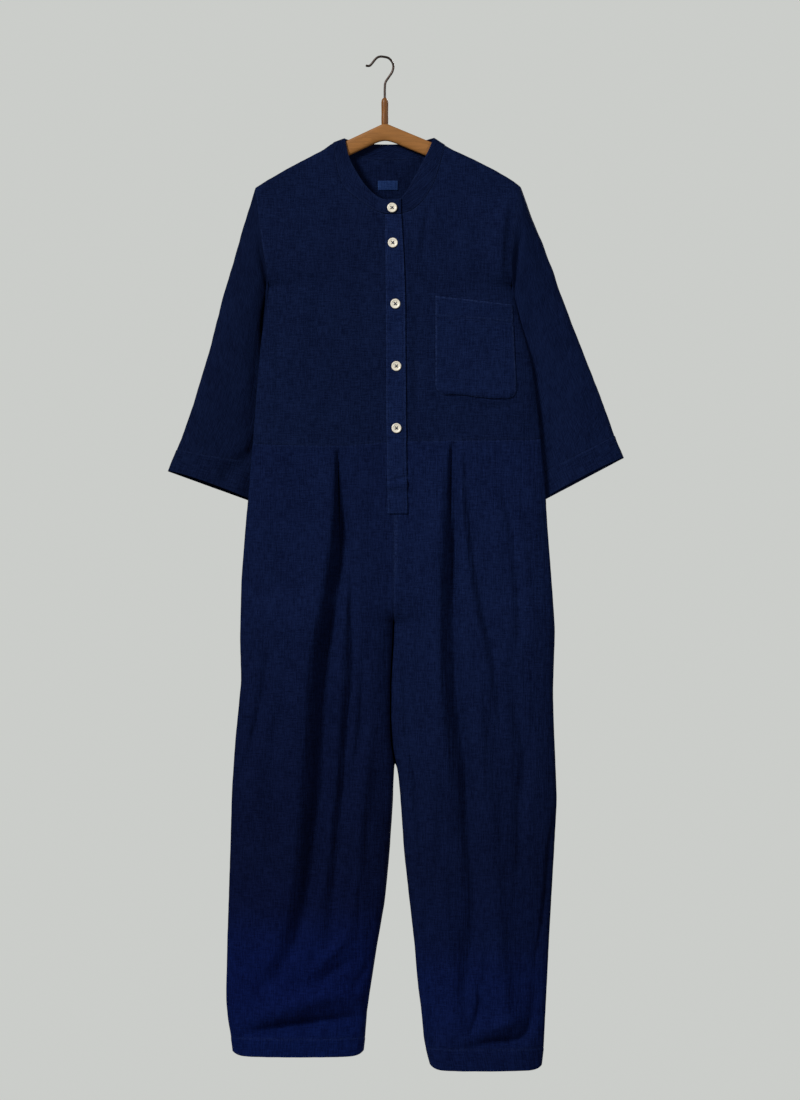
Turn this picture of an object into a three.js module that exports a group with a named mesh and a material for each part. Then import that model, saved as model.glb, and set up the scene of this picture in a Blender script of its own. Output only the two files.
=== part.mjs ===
// A linen jumpsuit hanging on a wooden hanger, in millimetres, +Z up, its front facing -Y.
// The origin is the inside of the hook's crown, where a rail would carry it.
// "Left" and "right" in names are the wearer's: the wearer's right side is at -X.
// Every table gives drops, the distance below the hook's crown, so z is minus the drop.
import * as THREE from "three";
import { mergeVertices } from "three/addons/utils/BufferGeometryUtils.js";

// Cloth
const WALL = 2; // thickness of a cloth wall, with its folded edges
const SEAM = 0.3; // gap between two pieces that are sewn together
const SLEEVE_GAP = 0.45; // gap between a sleeve's head and the armhole
const LAY = 0.4; // gap under a piece that lies on a panel
const FOLD_RADIUS = 8.5; // outside radius of the fold over the hanger
const SHOULDER_TILT = 0.87; // cosine of the shoulders' slope
const CHEST_DEPTH = 26; // half the front to back depth at the chest
const DEPTH_RUN = 170; // drop below the shoulder over which the chest fills out

// Levels, as drops
const SHOULDER_DROP = 195;
const UNDERARM_DROP = 342;
const WAIST_DROP = 578; // the waist seam at the wearer's right side
const CROTCH_START = 745; // the seam between the legs starts to sink in here
const CROTCH_DROP = 880;

// Placket, buttons, pocket and label
const PLACKET_TOP = 236.5;
const PLACKET_END = 684;
const PLACKET_TUCK = 3; // how far the placket's free edge laps the front below it
const PLACKET_SEWN_LAP = 3; // how far it laps the front that it is sewn to
const BAND_RAISE = 2.7; // height of the collar's lapped end over the other end
const BUTTON_RADIUS = 7.3;
const BUTTON_THICK = 2.4;
const BUTTON_HOLE = 0.9;
const BUTTON_CORNERS = [[1, 1], [-1, 1], [-1, -1], [1, -1]];
const BUTTON_HOLE_OUT = 1.7; // hole centres from the middle, along X and Z
const POCKET_WALL = 1.4;
const POCKET_CORNER = 16;
const POCKET_SLACK = 0.2; // extra gap under the pocket's outer edge, where the chest curves away
const HEM_PROUD = 0.4; // how far a turned hem stands out from the leg above it
const LABEL = { left: -7, right: 23, top: 183, bottom: 197, wall: 1 };

// Hanger
const BAR_HALF = 5.6; // half the thickness of the wooden bar
const BAR_SEAT = 2.95; // drop of the bar below the cloth's top line where it carries the shoulder
const BAR_LEFT = -172;
const BAR_RIGHT = 190;
const BAR_APEX_X = 3.5;
const BAR_END_SHRINK = 5; // how much the bar's ends are rounded down
const BAR_EDGE = 2; // width of the bar's lower bevels
const PEG = { x: 3.5, top: 60, bottom: 97.6, radius: 5.2 };
const WIRE_RADIUS = 1.75;

const table = (names, rows) =>
  rows.map((row) => Object.fromEntries(names.map((name, k) => [name, row[k]])));

// Top line of the shoulders and of the collar, seen from the front.
const TOP_LINE = table(["x", "drop"], [
  [-191, 195], [-172, 183], [-146, 168], [-118, 153], [-89, 138], [-74, 127], [-56, 120],
  [10, 118], [76, 119], [94, 131], [106, 138], [139, 153], [168, 168], [194, 183], [208, 194],
]);
// Armhole and side seam, from the shoulder point to the hem.
const SIDE = {
  right: table(["drop", "x"], [
    [195, -191], [258, -183], [342, -170], [401, -179], [428, -183], [509, -190], [578, -195],
    [663, -202], [693, -205], [783, -212], [873, -214], [933, -212], [1023, -221], [1098, -226],
    [1203, -229], [1323, -233], [1413, -235], [1443, -232], [1470, -227], [1496, -224],
  ]),
  left: table(["drop", "x"], [
    [194, 208], [250, 198], [297, 192], [342, 195], [392, 206], [459, 225], [541, 235], [578, 238],
    [633, 244], [693, 247], [783, 254], [858, 259], [948, 256], [993, 257], [1113, 262],
    [1203, 257], [1308, 251], [1383, 247], [1443, 244], [1485, 242], [1517, 238],
  ]),
};
// Centre seam down to the crotch, and below it the inside edge of each leg.
const INSIDE = {
  right: table(["drop", "x"], [
    [570, 17.3], [813, 17.3], [873, 16], [932, 14], [993, 12], [1038, 12], [1083, 14], [1113, 16],
    [1188, 11], [1263, 4], [1331, -8], [1383, -16], [1428, -23], [1470, -26], [1496, -29],
  ]),
  left: table(["drop", "x"], [
    [570, 17.6], [813, 17.6], [873, 16.3], [932, 14.3], [993, 13], [1038, 16], [1076, 23],
    [1113, 27], [1188, 32], [1263, 40], [1331, 48], [1383, 52], [1428, 58], [1473, 62],
    [1488, 65], [1517, 73],
  ]),
};
const HEM = { right: { seam: 1469, end: 1496 }, left: { seam: 1485, end: 1517 } };
// Half the depth of the hanging trousers.
const TROUSER_DEPTH = table(["drop", "depth"], [[570, 26], [760, 32], [1100, 27], [1520, 23]]);
// The waist seam: it dips to the front pleats, and runs straight across the back.
const WAIST_FRONT = table(["x", "drop"], [
  [-196, WAIST_DROP], [-71, 584], [17, 577], [109, 575], [238, 572],
]);
const WAIST_BACK = table(["x", "drop"], [[-196, WAIST_DROP], [238, 572]]);
// The collar band from its lapped end, round the back, to its end below: seam and free edge.
const BAND = table(["face", "seamX", "seamDrop", "freeX", "freeDrop", "raise"], [
  [-1, 28, 236, 28, 213, 1], [-1, 16, 236.5, 16, 215, 1], [-1, 4, 235.5, 5, 215, 1],
  [-1, -5, 233.5, -2, 213, 0.35], [-1, -14, 229.5, -10, 208, 0], [-1, -23, 223, -19, 200, 0],
  [-1, -40, 212, -28, 190, 0], [-1, -57.5, 198, -38, 174, 0], [-1, -64, 184, -45, 161, 0],
  [-1, -68, 169, -51, 148, 0], [-1, -71, 149, -53.5, 135, 0], [-1, -72.8, 137, -55, 128, 0],
  [-1, -73.6, 130.5, -55.8, 123, 0], [0, -74, 127, -56, 120, 0], [1, -72.5, 129.5, -54.5, 122, 0],
  [1, -68, 134.5, -50, 125.5, 0], [1, -55, 142, -34, 129, 0], [1, -26, 151, -15, 130.5, 0],
  [1, 10, 153, 10, 131, 0], [1, 47, 151, 35, 130.5, 0], [1, 76, 144, 55, 128.5, 0],
  [1, 88, 138.5, 70, 125, 0], [1, 92.5, 133.5, 74.5, 121.5, 0], [0, 94, 131, 76, 119, 0],
  [-1, 93.4, 134.5, 75.4, 122.5, 0], [-1, 92, 141, 73.5, 129, 0], [-1, 89, 152, 67, 144, 0],
  [-1, 82.5, 177, 53, 170, 0], [-1, 72.5, 201, 43, 189, 0], [-1, 55, 224, 35, 203, 0],
  [-1, 40, 233, 29, 211, 0], [-1, 28, 236, 22, 215, 0], [-1, 12, 236.5, 12, 217, 0],
]);
const BAND_GAP = 0.035; // the band starts this share of its width above its seam
// The stations of the band where it is sewn to the right front, the back and the left front.
const neckline = (from, to) =>
  BAND.slice(from, to + 1).map(({ seamX, seamDrop }) => ({ x: seamX, drop: seamDrop }));
const NECK_BACK = neckline(13, 23);
const NECK_FRONT = {
  right: [...neckline(3, 13).reverse(), { x: 7, drop: 236.2 }],
  left: [...neckline(23, 30), { x: 25.5, drop: 236 }],
};
const PLACKET_EDGE = table(["drop", "left", "right"], [
  [233, 4, 28], [300, 4.5, 32], [363, 5, 34], [558, 6, 35.5], [684, 7, 38],
]);
const BUTTONS = table(["x", "drop"], [[14.5, 227.5], [15.5, 280], [19.3, 371], [20.8, 464], [21, 556.5]]);
const POCKET = { left: 79, rightTop: 194, rightBottom: 201, top: [359, 371], bottom: [506, 513] };

// Sleeve sections below the armhole: outer and inner edge, half depth and how far back it hangs.
const SLEEVE_COLUMNS = ["outerX", "outerDrop", "innerX", "innerDrop", "depth", "back"];
const SLEEVE = {
  right: table(SLEEVE_COLUMNS, [
    [-199, 222, -172.8, 352, 15, 2.5], [-208, 252, -176, 372, 14.5, 6], [-224, 303, -180, 400, 14, 11],
    [-241, 363, -179, 442, 13.5, 15.5], [-265, 453, -178, 510, 13, 18], [-293, 543, -180, 573, 13, 19.5],
    [-310.5, 587.5, -183, 611, 13, 20],
  ]),
  left: table(SLEEVE_COLUMNS, [
    [217, 220, 198, 353, 15, 2.5], [229, 250, 203, 374, 14.5, 6], [250, 303, 210, 404, 14, 11],
    [272, 363, 215, 448, 13.5, 15.5], [307, 453, 222, 516, 13, 18], [334, 525, 227, 578, 13, 19.5],
    [349.5, 566.5, 232, 627, 13, 20],
  ]),
};
const CUFF = {
  right: table(SLEEVE_COLUMNS, [
    [-310.7, 588, -183.1, 611.5, 13.3, 20], [-317, 604, -185, 640, 14, 20.5],
    [-323, 620, -187, 669, 15, 21],
  ]),
  left: table(SLEEVE_COLUMNS, [
    [349.8, 567, 232.1, 627.5, 13.3, 20], [356, 583, 233, 648, 14, 20.5],
    [363, 600, 234, 668, 15, 21],
  ]),
};
const CUFF_FRONT_RISE = 7; // the cuff's front edge hangs this much above its back edge

// Folds of the trouser fronts: a pressed pleat, then softer ridges and troughs beside it.
const FOLD_COLUMNS = ["drop", "x", "height"];
const FOLD_FADE = 2.2; // folds flatten out over the last part before the side seam
const FOLDS = {
  right: [
    { inner: 7, outer: 26, rows: table(FOLD_COLUMNS, [
      [586, -68, 0], [604, -68, 5.5], [687, -71, 6], [788, -79, 5.5], [867, -93, 5], [957, -107, 4.5],
      [1047, -111, 4.5], [1178, -111, 4], [1289, -130, 3], [1385, -166, 1.5], [1469, -175, 0]]) },
    { inner: 16, outer: 12, rows: table(FOLD_COLUMNS, [
      [640, -50, 0], [690, -52, 3], [795, -48, 3.5], [903, -43, 3.5], [1104, -60, 3.5], [1215, -80, 2],
      [1320, -95, 0]]) },
    { inner: 14, outer: 10, rows: table(FOLD_COLUMNS, [
      [820, -163, 0], [885, -169, 3], [957, -179, 3.5], [1029, -192, 2.5], [1090, -205, 0]]) },
    { inner: 12, outer: 16, rows: table(FOLD_COLUMNS, [
      [1130, -40, 0], [1220, -46, 3], [1330, -62, 2.5], [1430, -84, 0]]) },
  ],
  left: [
    { inner: 7, outer: 26, rows: table(FOLD_COLUMNS, [
      [576, 106, 0], [596, 105, 5.5], [651, 101, 6], [723, 100, 6], [831, 92, 5], [939, 101, 4.5],
      [1011, 109, 4], [1086, 122, 3.5], [1190, 132, 3], [1330, 136, 2], [1485, 140, 0]]) },
    { inner: 14, outer: 14, rows: table(FOLD_COLUMNS, [
      [680, 124, 0], [744, 124, 3], [816, 139, 3.5], [867, 155, 3.5], [932, 170, 3], [1040, 178, 0]]) },
    { inner: 12, outer: 12, rows: table(FOLD_COLUMNS, [
      [640, 177, 0], [690, 184, 3], [795, 191, 3.5], [957, 190, 3.5], [1011, 202, 2.5], [1090, 214, 0]]) },
    { inner: 14, outer: 12, rows: table(FOLD_COLUMNS, [
      [1100, 66, 0], [1190, 74, 3], [1310, 86, 2.5], [1430, 100, 0]]) },
  ],
};

const clamp = THREE.MathUtils.clamp;
const lerp = THREE.MathUtils.lerp;
const smooth = (t) => THREE.MathUtils.smoothstep(t, 0, 1);

// The value of one column of a table where another column has the given value.
function read(rows, key, value, at) {
  const rising = rows[rows.length - 1][key] > rows[0][key];
  const last = rows.length - 1;
  let i = 0;
  while (i < last - 1 && (rising ? rows[i + 1][key] < at : rows[i + 1][key] > at)) i++;
  const t = clamp((at - rows[i][key]) / (rows[i + 1][key] - rows[i][key]), 0, 1);
  return lerp(rows[i][value], rows[i + 1][value], t);
}

// Points [x, drop] spaced evenly along a table's line, t from 0 to 1.
function walk(rows, t) {
  const runs = rows.slice(1).map((row, i) => Math.hypot(row.x - rows[i].x, row.drop - rows[i].drop));
  let rest = clamp(t, 0, 1) * runs.reduce((a, b) => a + b, 0);
  let i = 0;
  while (i < runs.length - 1 && rest > runs[i]) rest -= runs[i++];
  const part = runs[i] ? clamp(rest / runs[i], 0, 1) : 0;
  return [lerp(rows[i].x, rows[i + 1].x, part), lerp(rows[i].drop, rows[i + 1].drop, part)];
}

// The point [x, drop] at a share of a table's rows, counted by rows.
function stride(rows, t) {
  const at = clamp(t, 0, 1) * (rows.length - 1);
  const i = Math.min(Math.floor(at + 1e-9), rows.length - 2);
  return [lerp(rows[i].x, rows[i + 1].x, at - i), lerp(rows[i].drop, rows[i + 1].drop, at - i)];
}

const topDrop = (x) => read(TOP_LINE, "x", "drop", x);
const waistDrop = (x, face = -1) => read(face < 0 ? WAIST_FRONT : WAIST_BACK, "x", "drop", x);
const sideX = (side, drop) => read(SIDE[side], "drop", "x", drop);

// A point of the bodice's outer surface and its outward direction. Each level is a flattened
// ellipse that the armholes cut short, and the top closes in a round fold over the hanger.
function bodice(face, x, drop, lift = 0) {
  const left = sideX("right", drop);
  const right = sideX("left", drop);
  const half = (right - left) / 2;
  const fall = clamp((drop - SHOULDER_DROP) / (UNDERARM_DROP - SHOULDER_DROP), 0, 1);
  const cut = fall ** 1.5;
  const sigma = clamp((cut * (x - (left + right) / 2)) / half, -1, 1);
  const across = Math.sqrt(1 - sigma * sigma);
  const below = Math.max(drop - topDrop(x), 0);
  const depth = FOLD_RADIUS + (CHEST_DEPTH - FOLD_RADIUS) * smooth(below / DEPTH_RUN);
  const rise = clamp(1 - (below * SHOULDER_TILT) / FOLD_RADIUS, 0, 1);
  const turn = Math.sqrt(1 - rise * rise);
  const slope = (topDrop(x + 2) - topDrop(x - 2)) / 4;
  const up = new THREE.Vector3(slope, 0, 1).normalize();
  const out = new THREE.Vector3((sigma * cut) / half, (face * across) / depth, 0).normalize();
  const normal = out.multiplyScalar(turn).addScaledVector(up, rise).normalize();
  const y = face * Math.max(depth * across * turn, SEAM / 2);
  return { p: new THREE.Vector3(x, y, -drop).addScaledVector(normal, lift), n: normal };
}

// The armhole edge: the bodice's side, with its wall turned to face the sleeve squarely.
function armhole(side, face, drop) {
  const { p } = bodice(face, sideX(side, drop), drop);
  const fall = clamp((drop - SHOULDER_DROP) / (UNDERARM_DROP - SHOULDER_DROP), 0, 1);
  const open = Math.sqrt(1 - fall ** 3);
  const below = Math.max(drop - topDrop(p.x), 0);
  const rise = clamp(1 - (below * SHOULDER_TILT) / FOLD_RADIUS, 0, 1);
  const flat = face * open * Math.sqrt(1 - rise * rise);
  return { p, n: new THREE.Vector3(0, flat, rise - (1 - open)).normalize() };
}

// The height of all folds of a trouser front at a place.
function foldHeight(side, x, drop) {
  const outward = side === "right" ? -1 : 1;
  return FOLDS[side].reduce((sum, fold) => {
    const rows = fold.rows;
    if (drop <= rows[0].drop || drop >= rows[rows.length - 1].drop) return sum;
    const off = (x - read(rows, "drop", "x", drop)) * outward;
    const width = off > 0 ? fold.outer : fold.inner;
    return sum + read(rows, "drop", "height", drop) * Math.exp(-((off / width) ** 2));
  }, 0);
}

const CROTCH_RUN = CROTCH_DROP - CROTCH_START;
const parting = (drop) => smooth((drop - CROTCH_START) / CROTCH_RUN);

// A point of a leg by its angle round the level's ellipse: from the centre seam or the inside
// edge, over the middle, to the side seam at a quarter turn.
function leg(side, face, angle, drop, lift = 0) {
  const inside = read(INSIDE[side], "drop", "x", drop);
  const width = sideX(side, drop) - inside;
  const part = parting(drop);
  const sigma = Math.sin(angle);
  const x = inside + (width * (sigma + part)) / (1 + part);
  const depth = read(TROUSER_DEPTH, "drop", "depth", drop);
  const across = Math.cos(angle);
  const normal = new THREE.Vector3((sigma * (1 + part)) / width, (face * across) / depth, 0).normalize();
  const fold = face < 0 ? foldHeight(side, x, drop) * Math.min(1, across * FOLD_FADE) : 0;
  const y = face * (Math.max(depth * across, SEAM / 2) + fold);
  return { p: new THREE.Vector3(x, y, -drop).addScaledVector(normal, lift), n: normal };
}
const startAngle = (drop) => -Math.asin(parting(drop));

// The angle of a leg's level that lies at a given x.
function angleAt(side, x, drop) {
  const inside = read(INSIDE[side], "drop", "x", drop);
  const part = parting(drop);
  const share = (x - inside) / (sideX(side, drop) - inside);
  return Math.asin(clamp(share * (1 + part) - part, -1, 1));
}

// A closed wall from a grid of outer points and directions: the inner points lie one wall
// further in, and the open edges are closed. A ring's last column joins its first.
function wallOf(grid, { ring = false, wall = WALL } = {}) {
  const rows = grid.length;
  const columns = grid[0].length;
  const outer = grid.flat().map(({ p }) => p);
  const inner = grid.flat().map(({ p, n, wall: own }) => p.clone().addScaledVector(n, -(own ?? wall)));
  const points = [...outer, ...inner];
  const id = (i, j, layer) => layer * rows * columns + i * columns + (j % columns);
  const faces = [];
  const quad = (a, b, c, d) => faces.push(a, b, c, a, c, d);
  const spans = ring ? columns : columns - 1;
  for (let i = 0; i < rows - 1; i++)
    for (let j = 0; j < spans; j++) {
      quad(id(i, j, 0), id(i, j + 1, 0), id(i + 1, j + 1, 0), id(i + 1, j, 0));
      quad(id(i, j, 1), id(i + 1, j, 1), id(i + 1, j + 1, 1), id(i, j + 1, 1));
    }
  const end = rows - 1;
  for (let j = 0; j < spans; j++) {
    quad(id(0, j, 1), id(0, j + 1, 1), id(0, j + 1, 0), id(0, j, 0));
    quad(id(end, j, 0), id(end, j + 1, 0), id(end, j + 1, 1), id(end, j, 1));
  }
  const edge = columns - 1;
  for (let i = 0; i < end && !ring; i++) {
    quad(id(i, 0, 0), id(i + 1, 0, 0), id(i + 1, 0, 1), id(i, 0, 1));
    quad(id(i, edge, 1), id(i + 1, edge, 1), id(i + 1, edge, 0), id(i, edge, 0));
  }
  return solidFrom(points, faces);
}

// A solid from a stack of closed sections with the same number of points, capped at both ends.
function loftOf(sections) {
  const n = sections[0].length;
  const faces = [];
  for (let i = 0; i < sections.length - 1; i++)
    for (let j = 0; j < n; j++) {
      const k = (j + 1) % n;
      faces.push(i * n + j, i * n + k, (i + 1) * n + k, i * n + j, (i + 1) * n + k, (i + 1) * n + j);
    }
  const last = (sections.length - 1) * n;
  for (let j = 1; j < n - 1; j++) faces.push(0, j + 1, j, last, last + j, last + j + 1);
  return solidFrom(sections.flat(), faces);
}

// The geometry of a closed surface, its faces turned to point out.
function solidFrom(points, faces) {
  let volume = 0;
  for (let f = 0; f < faces.length; f += 3) {
    const [a, b, c] = [0, 1, 2].map((k) => points[faces[f + k]]);
    volume += a.dot(new THREE.Vector3().crossVectors(b, c));
  }
  const index = volume > 0 ? faces : faces.map((_, f) => faces[f - (f % 3) + 2 - (f % 3)]);
  const flat = new Float32Array(points.flatMap((p) => [p.x, p.y, p.z]));
  return new THREE.BufferGeometry()
    .setAttribute("position", new THREE.BufferAttribute(flat, 3))
    .setIndex(index);
}

const grid = (rows, columns, point) => rows.map((v, i) => columns.map((u, j) => point(u, v, i, j)));
const steps = (n) => Array.from({ length: n + 1 }, (_, i) => i / n);

// Rows of a bodice panel, close together over the hanger, with one at the underarm.
const UNDERARM_SHARE = (UNDERARM_DROP - SHOULDER_DROP) / (WAIST_DROP - SHOULDER_DROP);
const BODICE_ROWS = [
  0, 0.0035, 0.012, 0.026, 0.07, 0.14, 0.22, 0.3, UNDERARM_SHARE - 0.025, UNDERARM_SHARE, 0.47, 0.6, 0.8, 1,
];

// A bodice panel filled in between four edges, each a function to [x, drop].
function bodicePanel(face, edges, columns, sides) {
  const flat = (u, v) => {
    const [top, bottom, start, end] = [edges.top(u), edges.bottom(u), edges.start(v), edges.end(v)];
    const corners = [edges.top(0), edges.top(1), edges.bottom(0), edges.bottom(1)];
    return [0, 1].map((k) => {
      const edge = lerp(top[k], bottom[k], v) + lerp(start[k], end[k], u);
      return edge - lerp(lerp(corners[0][k], corners[1][k], u), lerp(corners[2][k], corners[3][k], u), v);
    });
  };
  return grid(BODICE_ROWS, columns, (u, v, i) => {
    const [x, drop] = flat(u, v);
    const side = u === 0 ? sides.start : u === 1 ? sides.end : null;
    const place = side && v <= UNDERARM_SHARE + 1e-9 ? armhole(side, face, drop) : bodice(face, x, drop);
    if (i === BODICE_ROWS.length - 1) place.n.setZ(0).normalize();
    return place;
  });
}

const sideEdge = (side, face) => (v) => {
  const bottom = waistDrop(sideX(side, WAIST_DROP), face) - SEAM;
  const drop = lerp(SIDE[side][0].drop, bottom, v);
  return [sideX(side, drop), drop];
};

// Shoulder line from the shoulder point to the neck, then the neckline, u from 0 to 1.
const SHOULDER_SHARE = 0.5;
const BACK_SHARE = 0.3; // each shoulder's share of the back's columns
const shoulderLine = {
  right: TOP_LINE.filter(({ x }) => x <= -74),
  left: TOP_LINE.filter(({ x }) => x >= 94).reverse(),
};
const frontTop = (side) => (u) =>
  u <= SHOULDER_SHARE
    ? walk(shoulderLine[side], u / SHOULDER_SHARE)
    : stride(NECK_FRONT[side], (u - SHOULDER_SHARE) / (1 - SHOULDER_SHARE));
// The columns of a panel's shoulder, close together at the armhole, and one for each neck station.
const SHOULDER_COLUMNS = [0, 0.03, 0.08, 0.18, 0.36, 0.56, 0.78, 1];
const neckColumns = (rows) => rows.map((_, i) => i / (rows.length - 1)).slice(1);

const placketX = (edge, drop) => read(PLACKET_EDGE, "drop", edge, drop);
const frontEnd = {
  right: (drop) => placketX("left", drop) + PLACKET_SEWN_LAP,
  left: (drop) => placketX("right", drop) - PLACKET_TUCK + SEAM,
};

function bodiceFront(side) {
  const top = frontTop(side);
  const [neckX, neckDrop] = top(1);
  const end = (v) => {
    const drop = lerp(neckDrop, waistDrop(neckX) - SEAM, v);
    return [frontEnd[side](drop), drop];
  };
  const start = sideEdge(side, -1);
  const bottom = (u) => {
    const x = lerp(start(1)[0], end(1)[0], u);
    return [x, waistDrop(x) - SEAM];
  };
  const columns = [
    ...SHOULDER_COLUMNS.map((u) => u * SHOULDER_SHARE),
    ...neckColumns(NECK_FRONT[side]).map((u) => lerp(SHOULDER_SHARE, 1, u)),
  ];
  return wallOf(bodicePanel(-1, { top, bottom, start, end }, columns, { start: side, end: null }));
}

function bodiceBack() {
  const top = (u) => {
    if (u <= BACK_SHARE) return walk(shoulderLine.right, u / BACK_SHARE);
    if (u >= 1 - BACK_SHARE) return walk(shoulderLine.left, (1 - u) / BACK_SHARE);
    return stride(NECK_BACK, (u - BACK_SHARE) / (1 - 2 * BACK_SHARE));
  };
  const start = sideEdge("right", 1);
  const end = sideEdge("left", 1);
  const bottom = (u) => {
    const x = lerp(start(1)[0], end(1)[0], u);
    return [x, waistDrop(x, 1) - SEAM];
  };
  const shoulder = SHOULDER_COLUMNS.map((u) => u * BACK_SHARE);
  const neck = neckColumns(NECK_BACK).map((u) => lerp(BACK_SHARE, 1 - BACK_SHARE, u)).slice(0, -1);
  const columns = [...shoulder, ...neck, ...shoulder.map((u) => 1 - u).reverse()];
  return wallOf(bodicePanel(1, { top, bottom, start, end }, columns, { start: "right", end: "left" }));
}

// The collar band runs on in the line of the bodice, from the neck seam to its free edge.
function collarBand() {
  return wallOf(grid([BAND_GAP, 0.5, 1], BAND, (row, t) => {
    const x = lerp(row.seamX, row.freeX, t);
    const drop = lerp(row.seamDrop, row.freeDrop, t);
    const place = bodice(row.face || 1, x, row.face ? drop : topDrop(x), row.raise * BAND_RAISE);
    if (!row.face) place.p.y = 0;
    return place;
  }));
}

// The outer surface of whichever front lies at a place, above or below the waist seam.
function frontSurface(x, drop, lift) {
  if (drop <= waistDrop(x)) return bodice(-1, x, drop, lift);
  const side = x < INSIDE.right[0].x ? "right" : "left";
  return leg(side, -1, angleAt(side, x, drop), drop, lift);
}

function placketStrip() {
  const rows = steps(14).map((v) => lerp(PLACKET_TOP + SEAM, PLACKET_END, v));
  return wallOf(grid(rows, steps(3), (u, drop) => {
    const x = lerp(placketX("left", drop), placketX("right", drop), u);
    const place = frontSurface(x, drop, LAY + WALL);
    place.n.set(0, -1, 0);
    return place;
  }));
}

function placketUnder() {
  const foot = waistDrop(placketX("right", WAIST_DROP)) - 2 * SEAM;
  const rows = steps(10).map((v) => lerp(PLACKET_TOP + SEAM, foot, v));
  return wallOf(grid(rows, steps(2), (u, drop) => {
    const x = lerp(frontEnd.right(drop) + LAY, frontEnd.left(drop) - SEAM, u);
    return bodice(-1, x, drop);
  }));
}

// The patch pocket: straight sides, rounded lower corners.
function chestPocket() {
  const rows = [0, 0.12, 0.3, 0.5, 0.7, 0.84, 0.93, 1];
  const columns = [0, 0.16, 0.33, 0.5, 0.66, 0.79, 0.88, 0.95, 1];
  return wallOf(grid(rows, columns, (u, v) => {
    const top = lerp(POCKET.top[0], POCKET.top[1], u);
    const bottom = lerp(POCKET.bottom[0], POCKET.bottom[1], u);
    const drop = lerp(top, bottom, v);
    const rest = Math.max(POCKET_CORNER - (bottom - drop), 0);
    const inset = POCKET_CORNER - Math.sqrt(Math.max(POCKET_CORNER ** 2 - rest ** 2, 0));
    const x = lerp(POCKET.left + inset, lerp(POCKET.rightTop, POCKET.rightBottom, v) - inset, u);
    return bodice(-1, x, drop, LAY + POCKET_WALL + POCKET_SLACK * u);
  }), { wall: POCKET_WALL });
}

function neckLabel() {
  return wallOf(grid([LABEL.top, LABEL.bottom], steps(3), (u, drop) =>
    bodice(1, lerp(LABEL.left, LABEL.right, u), drop, -WALL - LAY)), { wall: LABEL.wall });
}

// A sleeve section as a flattened ring of points, its front edge raised where asked.
const RING = 18;
function sleeveRing(row, rise = 0) {
  const outer = new THREE.Vector3(row.outerX, row.back, -row.outerDrop);
  const inner = new THREE.Vector3(row.innerX, row.back, -row.innerDrop);
  const half = outer.distanceTo(inner) / 2;
  const along = outer.clone().sub(inner).normalize();
  return Array.from({ length: RING }, (_, j) => {
    const turn = (2 * Math.PI * j) / RING;
    const p = inner.clone().lerp(outer, (1 + Math.cos(turn)) / 2);
    p.y -= row.depth * Math.sin(turn);
    p.z += rise * Math.max(Math.sin(turn), 0);
    const n = along.clone().multiplyScalar(Math.cos(turn) / half);
    n.y -= Math.sin(turn) / row.depth;
    return { p, n: n.normalize() };
  });
}

function sleeve(side) {
  const outward = side === "right" ? -1 : 1;
  const top = SIDE[side][0].drop;
  const first = Array.from({ length: RING }, (_, j) => {
    const turn = (2 * Math.PI * j) / RING;
    const drop = lerp(top, UNDERARM_DROP, (1 - Math.cos(turn)) / 2);
    const place = armhole(side, Math.sin(turn) > -1e-9 ? -1 : 1, drop);
    place.p.x += outward * SLEEVE_GAP;
    if (j === 0 || j === RING / 2) place.p.y = 0;
    return place;
  });
  return wallOf([first, ...SLEEVE[side].map((row) => sleeveRing(row))], { ring: true });
}

function cuff(side) {
  const rings = CUFF[side].map((row, i) => sleeveRing(row, (CUFF_FRONT_RISE * i) / (CUFF[side].length - 1)));
  return wallOf(rings, { ring: true });
}

// A trouser panel. One column of a front follows the pressed pleat.
const TROUSER_ROWS = [
  0, 0.015, 0.05, 0.09, 0.13, 0.17, 0.205, 0.24, 0.275, 0.305, 0.335, 0.37, 0.41, 0.45,
  0.49, 0.53, 0.575, 0.62, 0.67, 0.72, 0.77, 0.82, 0.88, 0.94, 1,
];
const BACK_ROWS = TROUSER_ROWS.filter((_, i) => i % 2 === 0 || (i > 6 && i < 12));
const FRONT_COLUMNS = 14;
const PLEAT_COLUMN = 6;
const BACK_COLUMNS = 9;
function trouserPanel(side, face) {
  const columns = face < 0 ? FRONT_COLUMNS : BACK_COLUMNS;
  const pleat = FOLDS[side][0].rows;
  const top = (x) => waistDrop(x, face) + SEAM / 2;
  const waistX = (u) => lerp(INSIDE[side][0].x, sideX(side, WAIST_DROP), u);
  return wallOf(grid(face < 0 ? TROUSER_ROWS : BACK_ROWS, steps(columns), (u, v, i, j) => {
    const rough = lerp(top(waistX(u)), HEM[side].seam - SEAM / 2, v);
    const first = startAngle(rough);
    let angle = lerp(first, Math.PI / 2, u);
    if (face < 0) {
      const fold = angleAt(side, read(pleat, "drop", "x", rough), rough);
      const before = j / PLEAT_COLUMN;
      const after = (j - PLEAT_COLUMN) / (columns - PLEAT_COLUMN);
      angle = j <= PLEAT_COLUMN ? lerp(first, fold, before) : lerp(fold, Math.PI / 2, after);
    }
    const place = leg(side, face, angle, rough);
    if (i === 0) {
      place.p.z = -top(place.p.x);
      place.n.setZ(0).normalize();
    }
    return place;
  }));
}

const HEM_RING = 28;
function legHem(side) {
  const rows = [HEM[side].seam + SEAM / 2, (HEM[side].seam + HEM[side].end) / 2, HEM[side].end];
  return wallOf(rows.map((drop) =>
    Array.from({ length: HEM_RING }, (_, j) => {
      const turn = (2 * Math.PI * j) / HEM_RING - Math.PI / 2;
      const face = Math.cos(turn) > 1e-9 && j < HEM_RING / 2 ? -1 : 1;
      const place = leg(side, face, Math.asin(clamp(Math.sin(turn), -1, 1)), drop, HEM_PROUD);
      if (j === 0 || j === HEM_RING / 2) place.p.y = 0;
      return place;
    })), { ring: true });
}

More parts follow.
